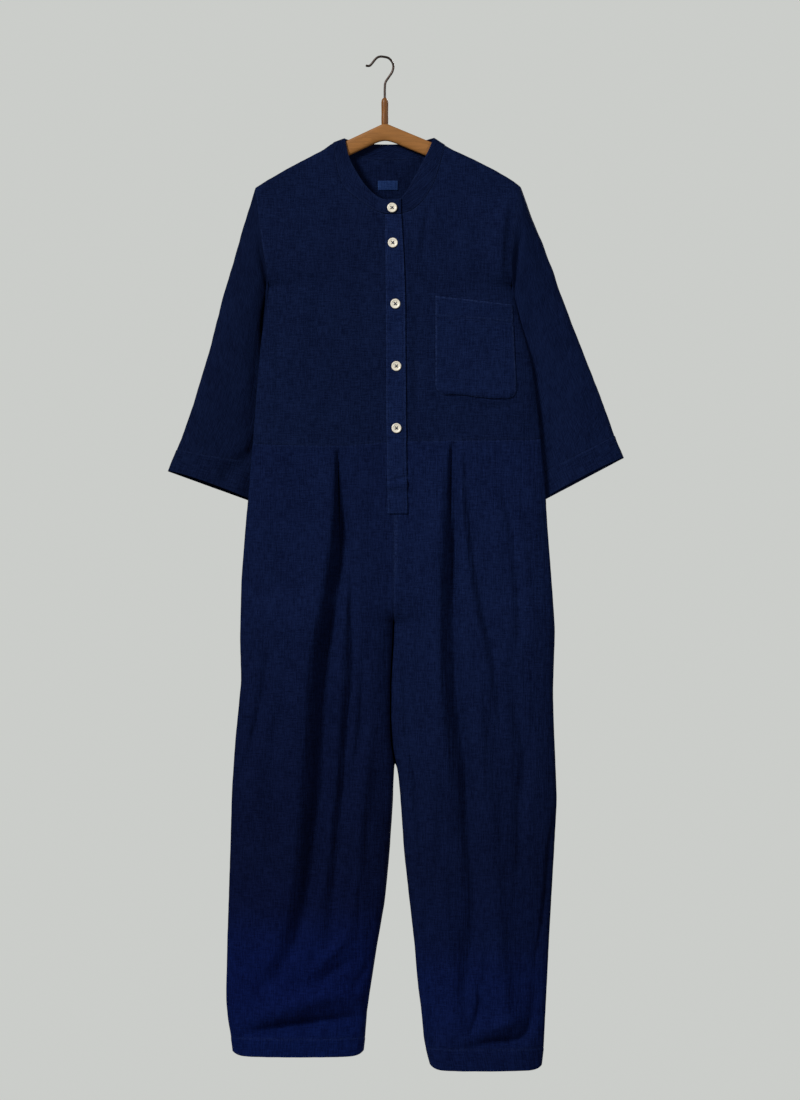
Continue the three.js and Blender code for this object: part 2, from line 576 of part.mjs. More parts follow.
// A round button with four holes, its back on what it is sewn to.
function button({ x, drop }, lift) {
  const shape = new THREE.Shape().absarc(0, 0, BUTTON_RADIUS, 0, 2 * Math.PI, false);
  for (const [sx, sz] of BUTTON_CORNERS) {
    const hole = new THREE.Path();
    hole.absarc(sx * BUTTON_HOLE_OUT, sz * BUTTON_HOLE_OUT, BUTTON_HOLE, 0, 2 * Math.PI, true);
    shape.holes.push(hole);
  }
  const flat = { depth: BUTTON_THICK, curveSegments: 7, bevelEnabled: false };
  const disc = new THREE.ExtrudeGeometry(shape, flat);
  const above = frontSurface(x, drop - BUTTON_RADIUS, lift).p;
  const below = frontSurface(x, drop + BUTTON_RADIUS, lift).p;
  const tilt = Math.atan2(above.y - below.y, above.z - below.z);
  const back = Math.min((above.y + below.y) / 2, frontSurface(x, drop, lift).p.y);
  return cleaned(disc.rotateX(Math.PI / 2 - tilt).translate(x, back, -drop));
}

function cleaned(geometry) {
  geometry.deleteAttribute("normal");
  geometry.deleteAttribute("uv");
  return mergeVertices(geometry, 1e-3);
}

// The wooden bar: it shows as a shallow arch in the neck and carries both shoulders inside.
const BAR_STATIONS = [
  BAR_LEFT, -168, -146, -118, -95, -74, -54, -27, -8, BAR_APEX_X, 15, 34, 58, 78, 94, 112, 139, 165, 186,
  BAR_RIGHT,
];
const BAR_ARCH = table(["x", "drop"], [[-74, 134.2], [BAR_APEX_X, 98], [71, 126], [94, 135]]);
const BAR_TALL = table(["x", "tall"], [
  [BAR_LEFT, 18], [-60, 24], [BAR_APEX_X, 23.5], [64, 24], [BAR_RIGHT, 18],
]);
function barTop(x) {
  const ends = [BAR_ARCH[0], BAR_ARCH[BAR_ARCH.length - 1]];
  if (x > ends[0].x && x < ends[1].x) return read(BAR_ARCH, "x", "drop", x);
  return Math.max(topDrop(x) + BAR_SEAT, ends[x < 0 ? 0 : 1].drop);
}
function hangerBar() {
  return loftOf(BAR_STATIONS.map((x) => {
    const shrink = x === BAR_LEFT || x === BAR_RIGHT ? BAR_END_SHRINK : 0;
    const half = BAR_HALF - shrink * 0.6;
    const top = barTop(x) + shrink;
    const foot = barTop(x) + read(BAR_TALL, "x", "tall", x) - shrink;
    const crown = steps(6).map((t) => {
      const turn = Math.PI * t;
      return [half * Math.cos(turn), top + half * (1 - Math.sin(turn))];
    });
    const bevels = [
      [-half, foot - BAR_EDGE], [BAR_EDGE - half, foot], [half - BAR_EDGE, foot], [half, foot - BAR_EDGE],
    ];
    return [...crown, ...bevels].map(([y, drop]) => new THREE.Vector3(x, y, -drop));
  }));
}

// The turned neck above the bar, from a profile of radius and height.
function hangerPeg() {
  const height = PEG.bottom - PEG.top;
  const profile = table(["radius", "height"], [
    [0, 0], [PEG.radius - 0.1, 0], [PEG.radius, 6], [PEG.radius - 0.2, 14], [PEG.radius, 26],
    [PEG.radius, 31], [PEG.radius - 0.6, 34.5], [PEG.radius - 2, 36.8], [PEG.radius - 3.4, height],
    [0, height],
  ]);
  const lathe = new THREE.LatheGeometry(profile.map((row) => new THREE.Vector2(row.radius, row.height)), 14);
  return cleaned(lathe.rotateX(Math.PI / 2).translate(PEG.x, 0, -PEG.bottom));
}

// The wire hook: up from the turned neck, round to the viewer's right and over to its tip.
const HOOK_ROUTE = table(["x", "drop"], [
  [PEG.x, PEG.top - SEAM], [PEG.x, 47], [4.5, 37], [9.5, 29], [15, 20], [16, 10], [10, 1],
  [0, -WIRE_RADIUS], [-6, -1.2], [-10.5, 2], [-15.5, 8.2], [-19.5, 12], [-25.5, 11.8],
]);
function hangerHook() {
  const path = new THREE.CatmullRomCurve3(HOOK_ROUTE.map(({ x, drop }) => new THREE.Vector3(x, 0, -drop)));
  const section = new THREE.Shape().absarc(0, 0, WIRE_RADIUS, 0, 2 * Math.PI, false);
  const sweep = { steps: 34, curveSegments: 4, extrudePath: path, bevelEnabled: false };
  return cleaned(new THREE.ExtrudeGeometry(section, sweep));
}

const finish = (color, roughness, metalness = 0) =>
  new THREE.MeshStandardMaterial({ color, roughness, metalness });
const LINEN = () => finish("#111c42", 0.92);
const BUTTON = () => finish("#ddd6c6", 0.45);
const WOOD = () => finish("#9c6a3a", 0.5);
const PEG_WOOD = () => finish("#8e5426", 0.45);
const WIRE = () => finish("#3b2f2a", 0.4, 0.9);
const LABEL_CLOTH = () => finish("#27406f", 0.85);

const jumpsuit = new THREE.Group();
function add(name, geometry, material) {
  const mesh = new THREE.Mesh(geometry, material);
  mesh.name = name;
  jumpsuit.add(mesh);
}

for (const side of ["right", "left"]) {
  add("bodice_front_" + side, bodiceFront(side), LINEN());
  add("sleeve_" + side, sleeve(side), LINEN());
  add("cuff_" + side, cuff(side), LINEN());
  add("trouser_front_" + side, trouserPanel(side, -1), LINEN());
  add("trouser_back_" + side, trouserPanel(side, 1), LINEN());
  add("leg_hem_" + side, legHem(side), LINEN());
}
add("bodice_back", bodiceBack(), LINEN());
add("collar_band", collarBand(), LINEN());
add("placket", placketStrip(), LINEN());
add("placket_under", placketUnder(), LINEN());
add("chest_pocket", chestPocket(), LINEN());
add("neck_label", neckLabel(), LABEL_CLOTH());
BUTTONS.forEach((place, i) => {
  const under = i === 0 ? BAND_RAISE : WALL;
  add("button_" + (i + 1), button(place, LAY + under + LAY), BUTTON());
});
add("hanger_bar", hangerBar(), WOOD());
add("hanger_peg", hangerPeg(), PEG_WOOD());
add("hanger_hook", hangerHook(), WIRE());

export default jumpsuit;
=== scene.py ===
# %% [markdown]
# # A linen jumpsuit on a wooden hanger
#
# The real garment is a one-piece of dark navy linen: a bodice with a narrow band collar, a button
# placket and a chest pocket, sewn at the waist to pleated trousers. It hangs flat from its shoulders.
# Cloth could be draped by simulation, but a garment that hangs still has folds that can be read one
# by one. So each cut piece is worked out as a surface, and its folds are listed and laid on it.

# %% The fixed frame
import bpy
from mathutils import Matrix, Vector
import numpy as np


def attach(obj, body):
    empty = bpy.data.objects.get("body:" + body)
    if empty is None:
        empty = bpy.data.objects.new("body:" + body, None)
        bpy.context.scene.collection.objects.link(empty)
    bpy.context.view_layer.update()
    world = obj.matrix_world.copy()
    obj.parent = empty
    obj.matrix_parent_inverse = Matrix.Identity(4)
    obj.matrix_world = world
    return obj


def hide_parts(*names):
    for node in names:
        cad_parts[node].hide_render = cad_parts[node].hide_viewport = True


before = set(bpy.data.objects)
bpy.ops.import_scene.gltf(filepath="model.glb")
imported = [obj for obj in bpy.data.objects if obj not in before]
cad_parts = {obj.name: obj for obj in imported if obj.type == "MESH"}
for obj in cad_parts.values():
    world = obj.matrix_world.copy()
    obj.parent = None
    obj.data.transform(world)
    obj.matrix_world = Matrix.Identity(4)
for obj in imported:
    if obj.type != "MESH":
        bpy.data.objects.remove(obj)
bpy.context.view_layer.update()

# %% [markdown]
# ## Sizes
#
# The tables below are a tailor's notes: every place on the garment is given by x, across it, and by
# its drop, how far it hangs below the hook's crown. Both are in millimetres, and the mesh helper
# turns them into metres. The wearer's right side is at negative x, and the front faces negative y.

# %% Sizes of the garment
MM = 0.001
FOLD_RADIUS, SHOULDER_TILT = 8.5, 0.87     # the round fold over the hanger
CHEST_DEPTH, DEPTH_RUN = 26.0, 170.0       # half depth of the chest, and how fast it fills out
SHOULDER, UNDERARM, WAIST = 195.0, 342.0, 578.0
LEG_TOP, CROTCH_START, CROTCH = 570.0, 790.0, 850.0
CLOTH = 0.9                                # thickness of one layer with its turned edges
LAID, POCKET_LAID = 2.4, 1.8               # how far a strip and the pocket stand off the front
TUCK = 0.5                                 # pieces run this far past their seam, into each other
MIDDLE = 17.4                              # x between the two trouser fronts

TOP_LINE = [
    (-191, 195), (-172, 183), (-146, 168), (-118, 153), (-89, 138), (-74, 127), (-56, 120),
    (10, 118), (76, 119), (94, 131), (106, 138), (139, 153), (168, 168), (194, 183), (208, 194),
]
SIDE = {
    "right": [
        (195, -191), (258, -183), (342, -170), (401, -179), (428, -183), (509, -190), (578, -195),
        (663, -202), (693, -205), (783, -212), (873, -214), (933, -212), (1023, -221), (1098, -226),
        (1203, -229), (1323, -233), (1413, -235), (1443, -232), (1470, -227), (1496, -224),
    ],
    "left": [
        (194, 208), (250, 198), (297, 192), (342, 195), (392, 206), (459, 225), (541, 235),
        (578, 238), (633, 244), (693, 247), (783, 254), (858, 259), (948, 256), (993, 257),
        (1113, 262), (1203, 257), (1308, 251), (1383, 247), (1443, 244), (1485, 242), (1517, 238),
    ],
}
INSIDE = {
    "right": [
        (570, 17.3), (813, 17.3), (873, 16), (932, 12.5), (993, 12), (1032, 14), (1060, 18.5),
        (1083, 16.5), (1113, 16), (1188, 11), (1263, 4), (1331, -8), (1383, -16), (1428, -23),
        (1470, -26), (1496, -29),
    ],
    "left": [
        (570, 17.6), (813, 17.6), (873, 16.3), (932, 12.8), (993, 12.3), (1032, 15), (1060, 20.5),
        (1076, 24), (1113, 27), (1188, 32), (1263, 40), (1331, 48), (1383, 52), (1428, 58),
        (1473, 62), (1488, 65), (1517, 73),
    ],
}
HEM = {"right": (1469, 1496), "left": (1485, 1517)}
TROUSER_DEPTH = [(570, 26), (760, 32), (1100, 27), (1520, 23)]
WAIST_FRONT = [(-196, 578), (-71, 584), (17, 577), (109, 575), (238, 572)]
WAIST_BACK = [(-196, 578), (238, 572)]
PLACKET_TOP, PLACKET_END = 236.8, 684.0
PLACKET_EDGES = {
    "left": [(233, 4), (300, 4.5), (363, 5), (558, 6), (684, 7)],
    "right": [(233, 28), (300, 32), (363, 34), (558, 35.5), (684, 38)],
}
BUTTONS = [(14.5, 227.5), (15.5, 280), (19.3, 371), (20.8, 464), (21, 556.5)]
POCKET = {"left": 79, "right": (194, 201), "top": (359, 371), "bottom": (506, 513), "corner": 16}

# %% Reading a table as a line
def line(rows, soft=6.0):
    """A two-column table as a curve: straight between rows, then averaged with its neighbours
    over about `soft` mm, so that the corners between rows turn round and the ends stay put."""
    at, value = np.array(rows, float).T
    steps = np.linspace(at[0], at[-1], int(at[-1] - at[0]) + 1)
    dense = np.interp(steps, at, value)
    reach = int(3 * soft)
    bell = np.exp(-0.5 * (np.arange(-reach, reach + 1) / soft) ** 2)
    padded = np.concatenate([
        2 * dense[0] - dense[reach:0:-1], dense, 2 * dense[-1] - dense[-2:-reach - 2:-1],
    ])
    smooth_value = np.convolve(padded, bell / bell.sum(), mode="valid")
    return lambda x: np.interp(x, steps, smooth_value)


top_drop = line(TOP_LINE, 3)
side_x = {side: line(rows, 9) for side, rows in SIDE.items()}
inside_x = {side: line(rows, 9) for side, rows in INSIDE.items()}
trouser_depth = line(TROUSER_DEPTH, 30)
waist_front, waist_back = line(WAIST_FRONT, 12), line(WAIST_BACK, 12)
placket_x = {edge: line(rows, 12) for edge, rows in PLACKET_EDGES.items()}
print("waist", round(side_x["left"](WAIST) - side_x["right"](WAIST)), "mm wide,",
      "hem at", [drop for _, drop in HEM.values()], "mm")


def ease(t):
    """Smooth step: 3t^2 - 2t^3 between 0 and 1."""
    t = np.clip(t, 0, 1)
    return t * t * (3 - 2 * t)


def bell(off, wide):
    """A soft bump: e^-(off / wide)^2."""
    return np.exp(-(off / wide) ** 2)


def blend(a, b, share):
    """From a to b in a straight line, as the share runs from 0 to 1."""
    return a * (1 - share) + b * share


def unit(v):
    """The same directions with length 1."""
    return v / np.maximum(np.linalg.norm(v, axis=-1, keepdims=True), 1e-9)


def turns(count):
    """Angles once round a circle."""
    return np.linspace(0, 2 * np.pi, count + 1)[:-1]


# %% [markdown]
# ## Folds
#
# What makes cloth read as cloth is where it folds. Sculpting would hide the numbers, so each fold is
# a line of places with a height: above zero it is a ridge, below it a trough. Its two sides fall off
# over their own widths, so a pressed pleat is steep on one side and soft on the other. The hidden
# back gets folds of the same kind, because it hangs from the same seams.

# %% The folds: width to the left and to the right, then x, drop, height of each place on the path
FRONT_FOLDS = [
    # right pleat: its folded edge, and the hollow of its underlay
    (24, 5, [-70,583,0, -71,594,4, -74,660,6, -77,720,5.5, -84,789,4, -92,839,2, -100,888,0]),
    (30, 14, [-76,680,0, -86,740,2, -96,800,4, -108,870,6, -116,940,6.5, -120,1010,7, -124,1080,7,
     -130,1160,6.5, -136,1220,6, -146,1290,5, -168,1350,3, -196,1396,0]),
    (8, 7, [-63,584,0, -63,596,-4, -61,640,-6, -60,700,-6, -62,760,-4, -66,800,0]),
    (14, 11, [-60,620,0, -58,678,-4, -60,724,-7, -64,770,-9, -71,835,-10, -79,887,-10, -84,940,-10,
     -88,1018,-10, -89,1083,-10, -96,1138,-9.5, -103,1206,-8, -110,1254,-7.5, -118,1290,-6.5,
     -130,1330,-5, -152,1366,-3.6, -180,1396,-2, -200,1404,0]),
    (7, 8, [-56,760,0, -60,835,2.4, -63,890,3, -66,940,3, -72,1018,3, -74,1083,3, -84,1160,3,
     -90,1230,3, -98,1290,0]),
    (5, 8, [-58,676,0, -54,706,-3.4, -50,740,-4.4, -47,789,-4.4, -47,835,-4.4, -44,887,-4.6, -46,940,-5,
     -52,992,-5, -56,1044,-5, -60,1095,-5, -65,1157,-4.6, -70,1226,-4, -77,1295,-2.6, -80,1340,0]),
    # left pleat: the cloth dips into it, and its folded edge stands up beyond
    (16, 7, [90,600,0, 88,660,2, 86,740,3, 84,830,3, 84,900,3, 88,980,3, 96,1060,3, 104,1130,0]),
    (10, 4, [109,576,0, 109,587,-5, 109,626,-7.5, 108,680,-8, 108,743,-7, 106,800,-4, 106,850,0]),
    (12, 9, [109,680,0, 108,740,-4, 107,800,-7, 106,870,-9, 108,940,-9, 115,992,-9, 121,1044,-9,
     126,1091,-8.5, 126,1132,-8, 131,1170,-7, 136,1213,-6, 138,1270,-5, 134,1330,-4, 126,1390,-2,
     120,1424,0]),
    (5, 4, [115,577,0, 116,592,3.4, 118,640,4, 121,704,4, 130,782,3, 139,835,2, 150,880,0]),
    (5, 12, [123,630,0, 129,671,-2.6, 135,750,-4, 147,815,-4.6, 160,868,-4.6, 167,913,-4.4,
     173,966,-3.4, 178,1020,0]),
    (14, 14, [138,920,0, 142,990,3.4, 148,1060,3.6, 158,1150,3, 168,1230,0]),
    (12, 10, [150,600,0, 153,680,-2, 158,760,-2, 162,800,0]),
    (6, 10, [157,590,0, 170,630,-2.4, 187,671,-3.4, 199,737,-4, 203,802,-3.6, 205,868,-3, 200,915,0]),
    (12, 8, [192,640,0, 208,720,2.4, 216,800,2.6, 222,880,0]),
    (9, 10, [184,905,0, 194,951,-3.8, 205,999,-5, 213,1040,-5, 210,1085,-4.4, 205,1132,-4, 208,1180,-3,
     206,1240,0]),
    (5, 6, [26,830,0, 31,880,-2.4, 33,940,-3, 36,1010,-3, 46,1050,-3, 52,1132,-3.4, 58,1190,-3,
     57,1260,0]),
    (12, 10, [72,960,0, 76,1060,3.4, 84,1160,3.4, 92,1260,0]),
    (5, 7, [72,1090,0, 84,1130,-2.4, 86,1180,-2.8, 84,1240,0]),
    # the pressed edges themselves, where each pleat opens
    (2.4, 2.4, [-67,585,0, -67,591,-5, -67.5,640,-5.5, -67,700,-4, -67,750,0]),
    (2.4, 2.4, [104,576,0, 103.5,582,-4, 102,628,-5, 101,680,-4, 100,730,0]),
    # soft folds and hollows of the right leg
    (6, 10, [-168,872,0, -172,900,-3.4, -179,953,-5, -194,1018,-5, -206,1060,-3.6, -216,1082,0]),
    (14, 10, [-150,800,0, -156,900,2.8, -166,980,3.2, -184,1060,2.6, -192,1130,0]),
    (16, 16, [-160,1060,0, -164,1120,-3, -168,1200,-3.4, -176,1260,-2.4, -184,1310,0]),
    (6, 8, [-28,870,0, -30,926,-4, -33,1018,-4.6, -43,1063,-4.4, -50,1110,-3, -52,1160,0]),
    (10, 8, [-24,1010,0, -26,1080,3.4, -34,1180,3.4, -48,1290,2.6, -58,1350,0]),
    (5, 6, [-36,1170,0, -46,1230,-2.6, -58,1290,-2.6, -64,1340,0]),
    (7, 8, [-198,1210,0, -204,1246,-3, -216,1285,-3.4, -226,1310,0]),
    (5, 6, [-234,1334,0, -226,1346,-3.4, -212,1364,-3.4, -200,1372,0]),
    (20, 20, [-186,1340,0, -156,1352,3, -122,1376,3, -100,1384,0]),
    # slack above the right hem
    (16, 16, [-206,1448,0, -172,1432,5, -140,1422,7, -112,1412,8, -84,1404,8, -58,1404,6, -38,1408,3,
     -26,1414,0]),
    (9, 9, [-218,1462,0, -198,1461,-4, -172,1456,-6, -147,1452,-7, -112,1447,-7.5, -84,1443,-7,
     -58,1441,-6, -38,1438,-4, -28,1436,0]),
    (8, 8, [-110,1372,0, -88,1352,4, -64,1330,4, -52,1306,0]),
    (7, 7, [-108,1398,0, -88,1380,-3.4, -66,1364,-3.6, -46,1352,-2, -36,1344,0]),
    (5, 5, [-70,1460,0, -54,1456,-2, -40,1452,-2, -30,1448,0]),
    (5, 5, [-50,1398,0, -40,1388,-3, -27,1374,-3.2, -20,1356,-2, -18,1340,0]),
    # the left leg down to its hem
    (6, 9, [62,1225,0, 64,1280,-3, 66,1356,-4, 70,1400,-4, 74,1440,-4, 76,1476,-3, 78,1488,0]),
    (14, 12, [92,1240,0, 98,1320,3.4, 106,1400,4, 112,1470,0]),
    (14, 12, [166,1190,0, 172,1280,3.6, 178,1380,4, 186,1430,4, 192,1456,0]),
    (5, 7, [140,1370,0, 146,1396,-3.4, 146,1425,-4, 137,1450,-3.4, 129,1470,0]),
    (8, 8, [104,1486,0, 128,1483,-3, 150,1479,-5, 172,1474,-7, 196,1475,-7, 214,1470,-6, 224,1448,-5,
     230,1414,-4, 232,1370,0]),
    (12, 12, [140,1462,0, 160,1452,4, 182,1446,6, 202,1444,5, 212,1430,0]),
    # the front turns back along here, and the back's edge shows beside it
    (3, 16, [262,1118,0, 260,1134,-2.4, 250,1179,-4.5, 247,1233,-5, 242,1271,-5, 236,1316,-4,
     231,1350,-2, 230,1380,0]),
    # drags on the bodice
    (10, 12, [-100,260,0, -108,330,1.2, -120,420,1.5, -128,520,0]),
    (4, 7, [-162,384,0, -158,430,-1.8, -157,500,-2, -158,562,0]),
    (4, 6, [-134,420,0, -132,480,-1.2, -133,560,0]),
    (9, 9, [-60,330,0, -66,400,-1, -74,500,-1.2, -80,560,0]),
    (5, 7, [60,226,0, 54,262,1.8, 50,300,1.6, 48,350,0]),
    (5, 5, [72,210,0, 66,240,-1.4, 62,280,-1.2, 60,320,0]),
    (8, 10, [112,220,0, 122,280,1.2, 128,340,1, 130,357,0]),
    (7, 9, [48,400,0, 52,460,-1, 50,530,-1.1, 50,566,0]),
    (14, 8, [186,203,0, 181,240,4, 177,290,5, 177,325,3, 182,352,0]),
    (10, 9, [28,240,0, 32,262,2.2, 35,300,2.4, 37,400,2, 38,500,2, 38,566,0]),
    (10, 10, [-160,240,0, -152,300,-1.6, -150,380,-1.6, -158,470,0]),
    (6, 5, [104,512,0, 128,518,-1.6, 150,525,-2, 180,527,-2, 205,518,0]),
    (5, 5, [-30,590,0, -36,624,-1.8, -38,660,0]),
    (5, 5, [-28,215,0, -44,240,-0.8, -58,262,0]),
]
BACK_FOLDS = [
    (12, 14, [-60,210,0, -70,300,1.4, -76,420,1.6, -84,560,0]),
    (12, 12, [96,216,0, 104,310,1.4, 110,430,1.6, 112,560,0]),
    (10, 10, [14,250,0, 12,340,-1.2, 16,450,-1.4, 16,560,0]),
    (16, 10, [-96,600,0, -104,700,2.4, -112,850,3, -120,1020,2.8, -128,1200,2.4, -140,1360,1.2,
     -146,1450,0]),
    (10, 14, [120,600,0, 128,720,2.4, 136,880,3, 140,1040,2.8, 146,1220,2, 152,1450,0]),
    (9, 9, [-60,640,0, -66,780,-1.8, -70,960,-2.2, -84,1140,-1.8, -90,1300,0]),
    (9, 9, [80,650,0, 84,800,-1.8, 94,980,-2.2, 100,1180,-1.8, 104,1320,0]),
    (10, 10, [180,680,0, 190,820,-1.6, 196,1000,-1.8, 200,1160,0]),
    (10, 10, [-160,700,0, -168,840,-1.6, -178,1000,-1.8, -190,1150,0]),
    (12, 10, [-20,760,0, -34,840,1.8, -52,910,1.6, -74,960,0]),
    (10, 12, [50,770,0, 64,850,1.8, 84,920,1.6, 104,970,0]),
    (8, 8, [-214,1440,0, -160,1430,-2.2, -100,1436,-2.4, -44,1446,0]),
    (8, 8, [84,1460,0, 130,1450,-2, 186,1456,-2.4, 232,1450,0]),
    (10, 9, [-206,1416,0, -150,1406,1.6, -96,1414,1.6, -50,1424,0]),
]


def fold_height(folds, x, drop):
    """The sum of all folds at a place. A fold's height there is that of the nearest place on its
    path, times e^-(distance / width)^2, with the width of the side that the place lies on."""
    total = np.zeros(np.shape(x))
    for wide_left, wide_right, path in folds:
        path = soft_path(np.reshape(path, (-1, 3)).astype(float))
        reach = 3 * max(wide_left, wide_right)
        low, high = path.min(0) - reach, path.max(0) + reach
        near = (x > low[0]) & (x < high[0]) & (drop > low[1]) & (drop < high[1])
        if not near.any():
            continue
        at_x, at_drop = x[near], drop[near]
        best = np.full(at_x.shape, np.inf)
        height, sided = np.zeros_like(best), np.zeros_like(best)
        for a, b in zip(path[:-1], path[1:]):
            run = b[:2] - a[:2]
            t = np.clip(((at_x - a[0]) * run[0] + (at_drop - a[1]) * run[1]) / (run @ run), 0, 1)
            off_x, off_drop = at_x - a[0] - t * run[0], at_drop - a[1] - t * run[1]
            far = off_x * off_x + off_drop * off_drop
            closer = far < best
            best[closer] = far[closer]
            height[closer] = (a[2] + t * (b[2] - a[2]))[closer]
            sided[closer] = (off_x * abs(run[1]) - off_drop * run[0] * np.sign(run[1] or 1))[closer]
        share = ease(0.5 + sided / (np.sqrt(best) * np.hypot(*run) + 6 * np.hypot(*run)))
        width = wide_left + (wide_right - wide_left) * share
        total[near] += height * np.exp(-best / width ** 2)
    return total


def run_along(path):
    """Length along a path to each of its points."""
    return np.concatenate([[0], np.cumsum(np.linalg.norm(np.diff(path, axis=0), axis=1))])


def soft_path(path, step=14.0):
    """The same path with points about `step` mm apart, its corners rounded by averaging."""
    run = run_along(path[:, :2])
    many = np.linspace(0, run[-1], max(int(run[-1] / step), 2) + 1)
    fine = np.stack([np.interp(many, run, column) for column in path.T], 1)
    if len(fine) > 4:
        fine[1:-1] = (fine[:-2] + 2 * fine[1:-1] + fine[2:]) / 4
    return fine


def rumple(x, drop, wide, tall, seed):
    """Soft random hills: random heights on a lattice of `wide` by `tall` mm, eased in between."""
    heights = np.random.default_rng(seed).uniform(-1, 1, (64, 64))
    i, j = x / wide + 1000, drop / tall + 1000
    i0, j0 = np.floor(i).astype(int), np.floor(j).astype(int)
    s, t = ease(i - i0), ease(j - j0)
    near, far = (blend(heights[i0 % 64, (j0 + k) % 64], heights[(i0 + 1) % 64, (j0 + k) % 64], s)
                 for k in (0, 1))
    return blend(near, far, t)


# Height, width and length of the crumples, their slant, and the drop that they start from
CRUMPLES = [(0.9, 34, 130, 0, 0), (0.5, 17, 46, 0, 0), (0.3, 12, 15, 0.3, 0), (0.85, 8, 90, 0.04, 560)]


def relief(face, x, drop):
    """Height of the hanging cloth over its plain form: its folds, and linen's small crumples,
    which grow from the pressed shoulders to the slack legs."""
    x, drop = np.broadcast_arrays(x, drop)
    folds = fold_height(FRONT_FOLDS, x, drop) if face < 0 else 1.5 * fold_height(BACK_FOLDS, x, drop)
    folds = folds * (1.15 + 0.5 * ease((drop - 590) / 160))
    slack = 0.45 + 0.75 * ease((drop - 500) / 800)
    small, seed = 0, 10 if face < 0 else 20
    for number, (height, wide, tall, slant, from_drop) in enumerate(CRUMPLES):
        hills = height * rumple(x + slant * drop, drop, wide, tall, seed + number)
        small = small + hills * (ease((drop - from_drop) / 250) if from_drop else 1)
    return folds + slack * small


print(len(FRONT_FOLDS), "folds in front,", len(BACK_FOLDS), "behind, and", len(CRUMPLES), "kinds of crumple")

# %% [markdown]
# ## The form that the folds lie on
#
# Over the hanger the bodice is a round fold of cloth, and below it each level is a flattened
# ellipse, wide and shallow, as an empty garment hangs. The armholes cut the ellipses short. Each leg
# is an ellipse of its own that parts from the other at the crotch. Every piece of the garment is read
# off these two surfaces, which is why the pieces meet at their seams.

# %% The bodice and leg surfaces
CALM_TOP, CALM_SIDE = 40, 16                   # folds fade out this near to the hanger and the sides
PRESSED, FREE = 0.6, 1050                      # legs press this far past their inside, down to there
OVERLAP, SLIT = 3.4, 0.9                       # below the crotch, of the backs, and between the fronts


def bodice(face, x, drop, lift=0.0):
    """Level ellipse y = depth * sqrt(1 - s^2), s from -1 to 1 across, closed over the hanger by a
    quarter circle. Gives the place and the outward direction, in millimetres."""
    x, drop = np.broadcast_arrays(np.asarray(x, float), np.asarray(drop, float))
    left, right = side_x["right"](drop), side_x["left"](drop)
    half = (right - left) / 2
    cut = np.clip((drop - SHOULDER) / (UNDERARM - SHOULDER), 0, 1) ** 1.5
    s = np.clip(cut * (x - (left + right) / 2) / half, -1, 1)
    across = np.sqrt(1 - s * s)
    below = np.maximum(drop - top_drop(x), 0)
    depth = FOLD_RADIUS + (CHEST_DEPTH - FOLD_RADIUS) * ease(below / DEPTH_RUN)
    rise = np.clip(1 - below * SHOULDER_TILT / FOLD_RADIUS, 0, 1)
    turn = np.sqrt(1 - rise * rise)
    slope = (top_drop(x + 2) - top_drop(x - 2)) / 4
    up = unit(np.stack([slope, 0 * x, 1 + 0 * x], -1))
    out = unit(np.stack([s * cut / half, face * across / depth, 0 * x], -1))
    normal = unit(out * turn[..., None] + up * rise[..., None])
    edge = np.minimum(x - left, right - x)
    calm = ease(below / CALM_TOP) * ease(edge / CALM_SIDE)
    lift = lift + relief(face, x, drop) * calm
    place = np.stack([x, face * depth * across * turn, -drop], -1)
    return place + normal * lift[..., None], normal


def parting(drop):
    """0 where the legs are one, 1 where they are apart."""
    return ease((drop - CROTCH_START) / (CROTCH - CROTCH_START))


def leg(side, face, angle, drop, lift=0.0):
    """Level ellipse of one leg: x runs as the sine of the angle from the inside edge to the side
    seam, y as its cosine. Above the crotch it is half an ellipse that meets the other leg. Below it
    the legs hang pressed together for a hand's length: their inner sides are boxier than an ellipse,
    a slit shows between the fronts, and the backs overlap behind it."""
    angle, drop = np.broadcast_arrays(np.asarray(angle, float), np.asarray(drop, float))
    pressed = PRESSED if face < 0 else PRESSED + OVERLAP * ease((drop - 840) / 40)
    pressed = pressed * (1 - ease((drop - FREE) / 14)) - SLIT * (face < 0) * ease((drop - 836) / 10)
    inside = inside_x[side](drop) + (pressed if side == "right" else -pressed)
    width = side_x[side](drop) - inside
    part = parting(drop)
    s = np.sin(angle)
    boxy = 2 + 1.4 * ease((drop - 760) / 90) * (1 - 0.7 * ease((drop - 1000) / 160))
    across = np.where(s < 0, (1 - np.minimum(np.abs(s), 1) ** boxy) ** (1 / boxy), np.cos(angle))
    x = inside + width * (s + part) / (1 + part)
    depth = trouser_depth(drop)
    normal = unit(np.stack([s * (1 + part) / width, face * across / depth, 0 * x], -1))
    calm = np.minimum(1, across * 2.2)
    height = relief(face, x, drop) * calm + lift
    place = np.stack([x, face * np.maximum(depth * across, 0), -drop], -1)
    place[..., 1] += face * height * across
    place[..., 0] += normal[..., 0] * height * 0.5
    return place, normal


def angle_at(side, x, drop):
    """The angle at which `leg` reaches this x."""
    inside, part = inside_x[side](drop), parting(drop)
    share = (x - inside) / (side_x[side](drop) - inside)
    return np.arcsin(np.clip(share * (1 + part) - part, -1, 1))


def front_surface(x, drop, lift=0.0):
    """The front wherever it is asked for: bodice above the waist seam, and legs below it."""
    x, drop, lift = np.broadcast_arrays(np.asarray(x, float), np.asarray(drop, float), lift)
    place, normal = bodice(-1, x, drop, lift)
    below = drop > waist_front(x)
    for side, here in (("right", below & (x < MIDDLE)), ("left", below & (x >= MIDDLE))):
        if here.any():
            angle = angle_at(side, x[here], drop[here])
            place[here], normal[here] = leg(side, -1, angle, drop[here], lift[here])
    return place, normal


front, back = (bodice(face, np.array([10.0]), np.array([460.0]))[0][0, 1] for face in (-1, 1))
print("the body is", round(float(back - front), 1), "mm deep at the chest")

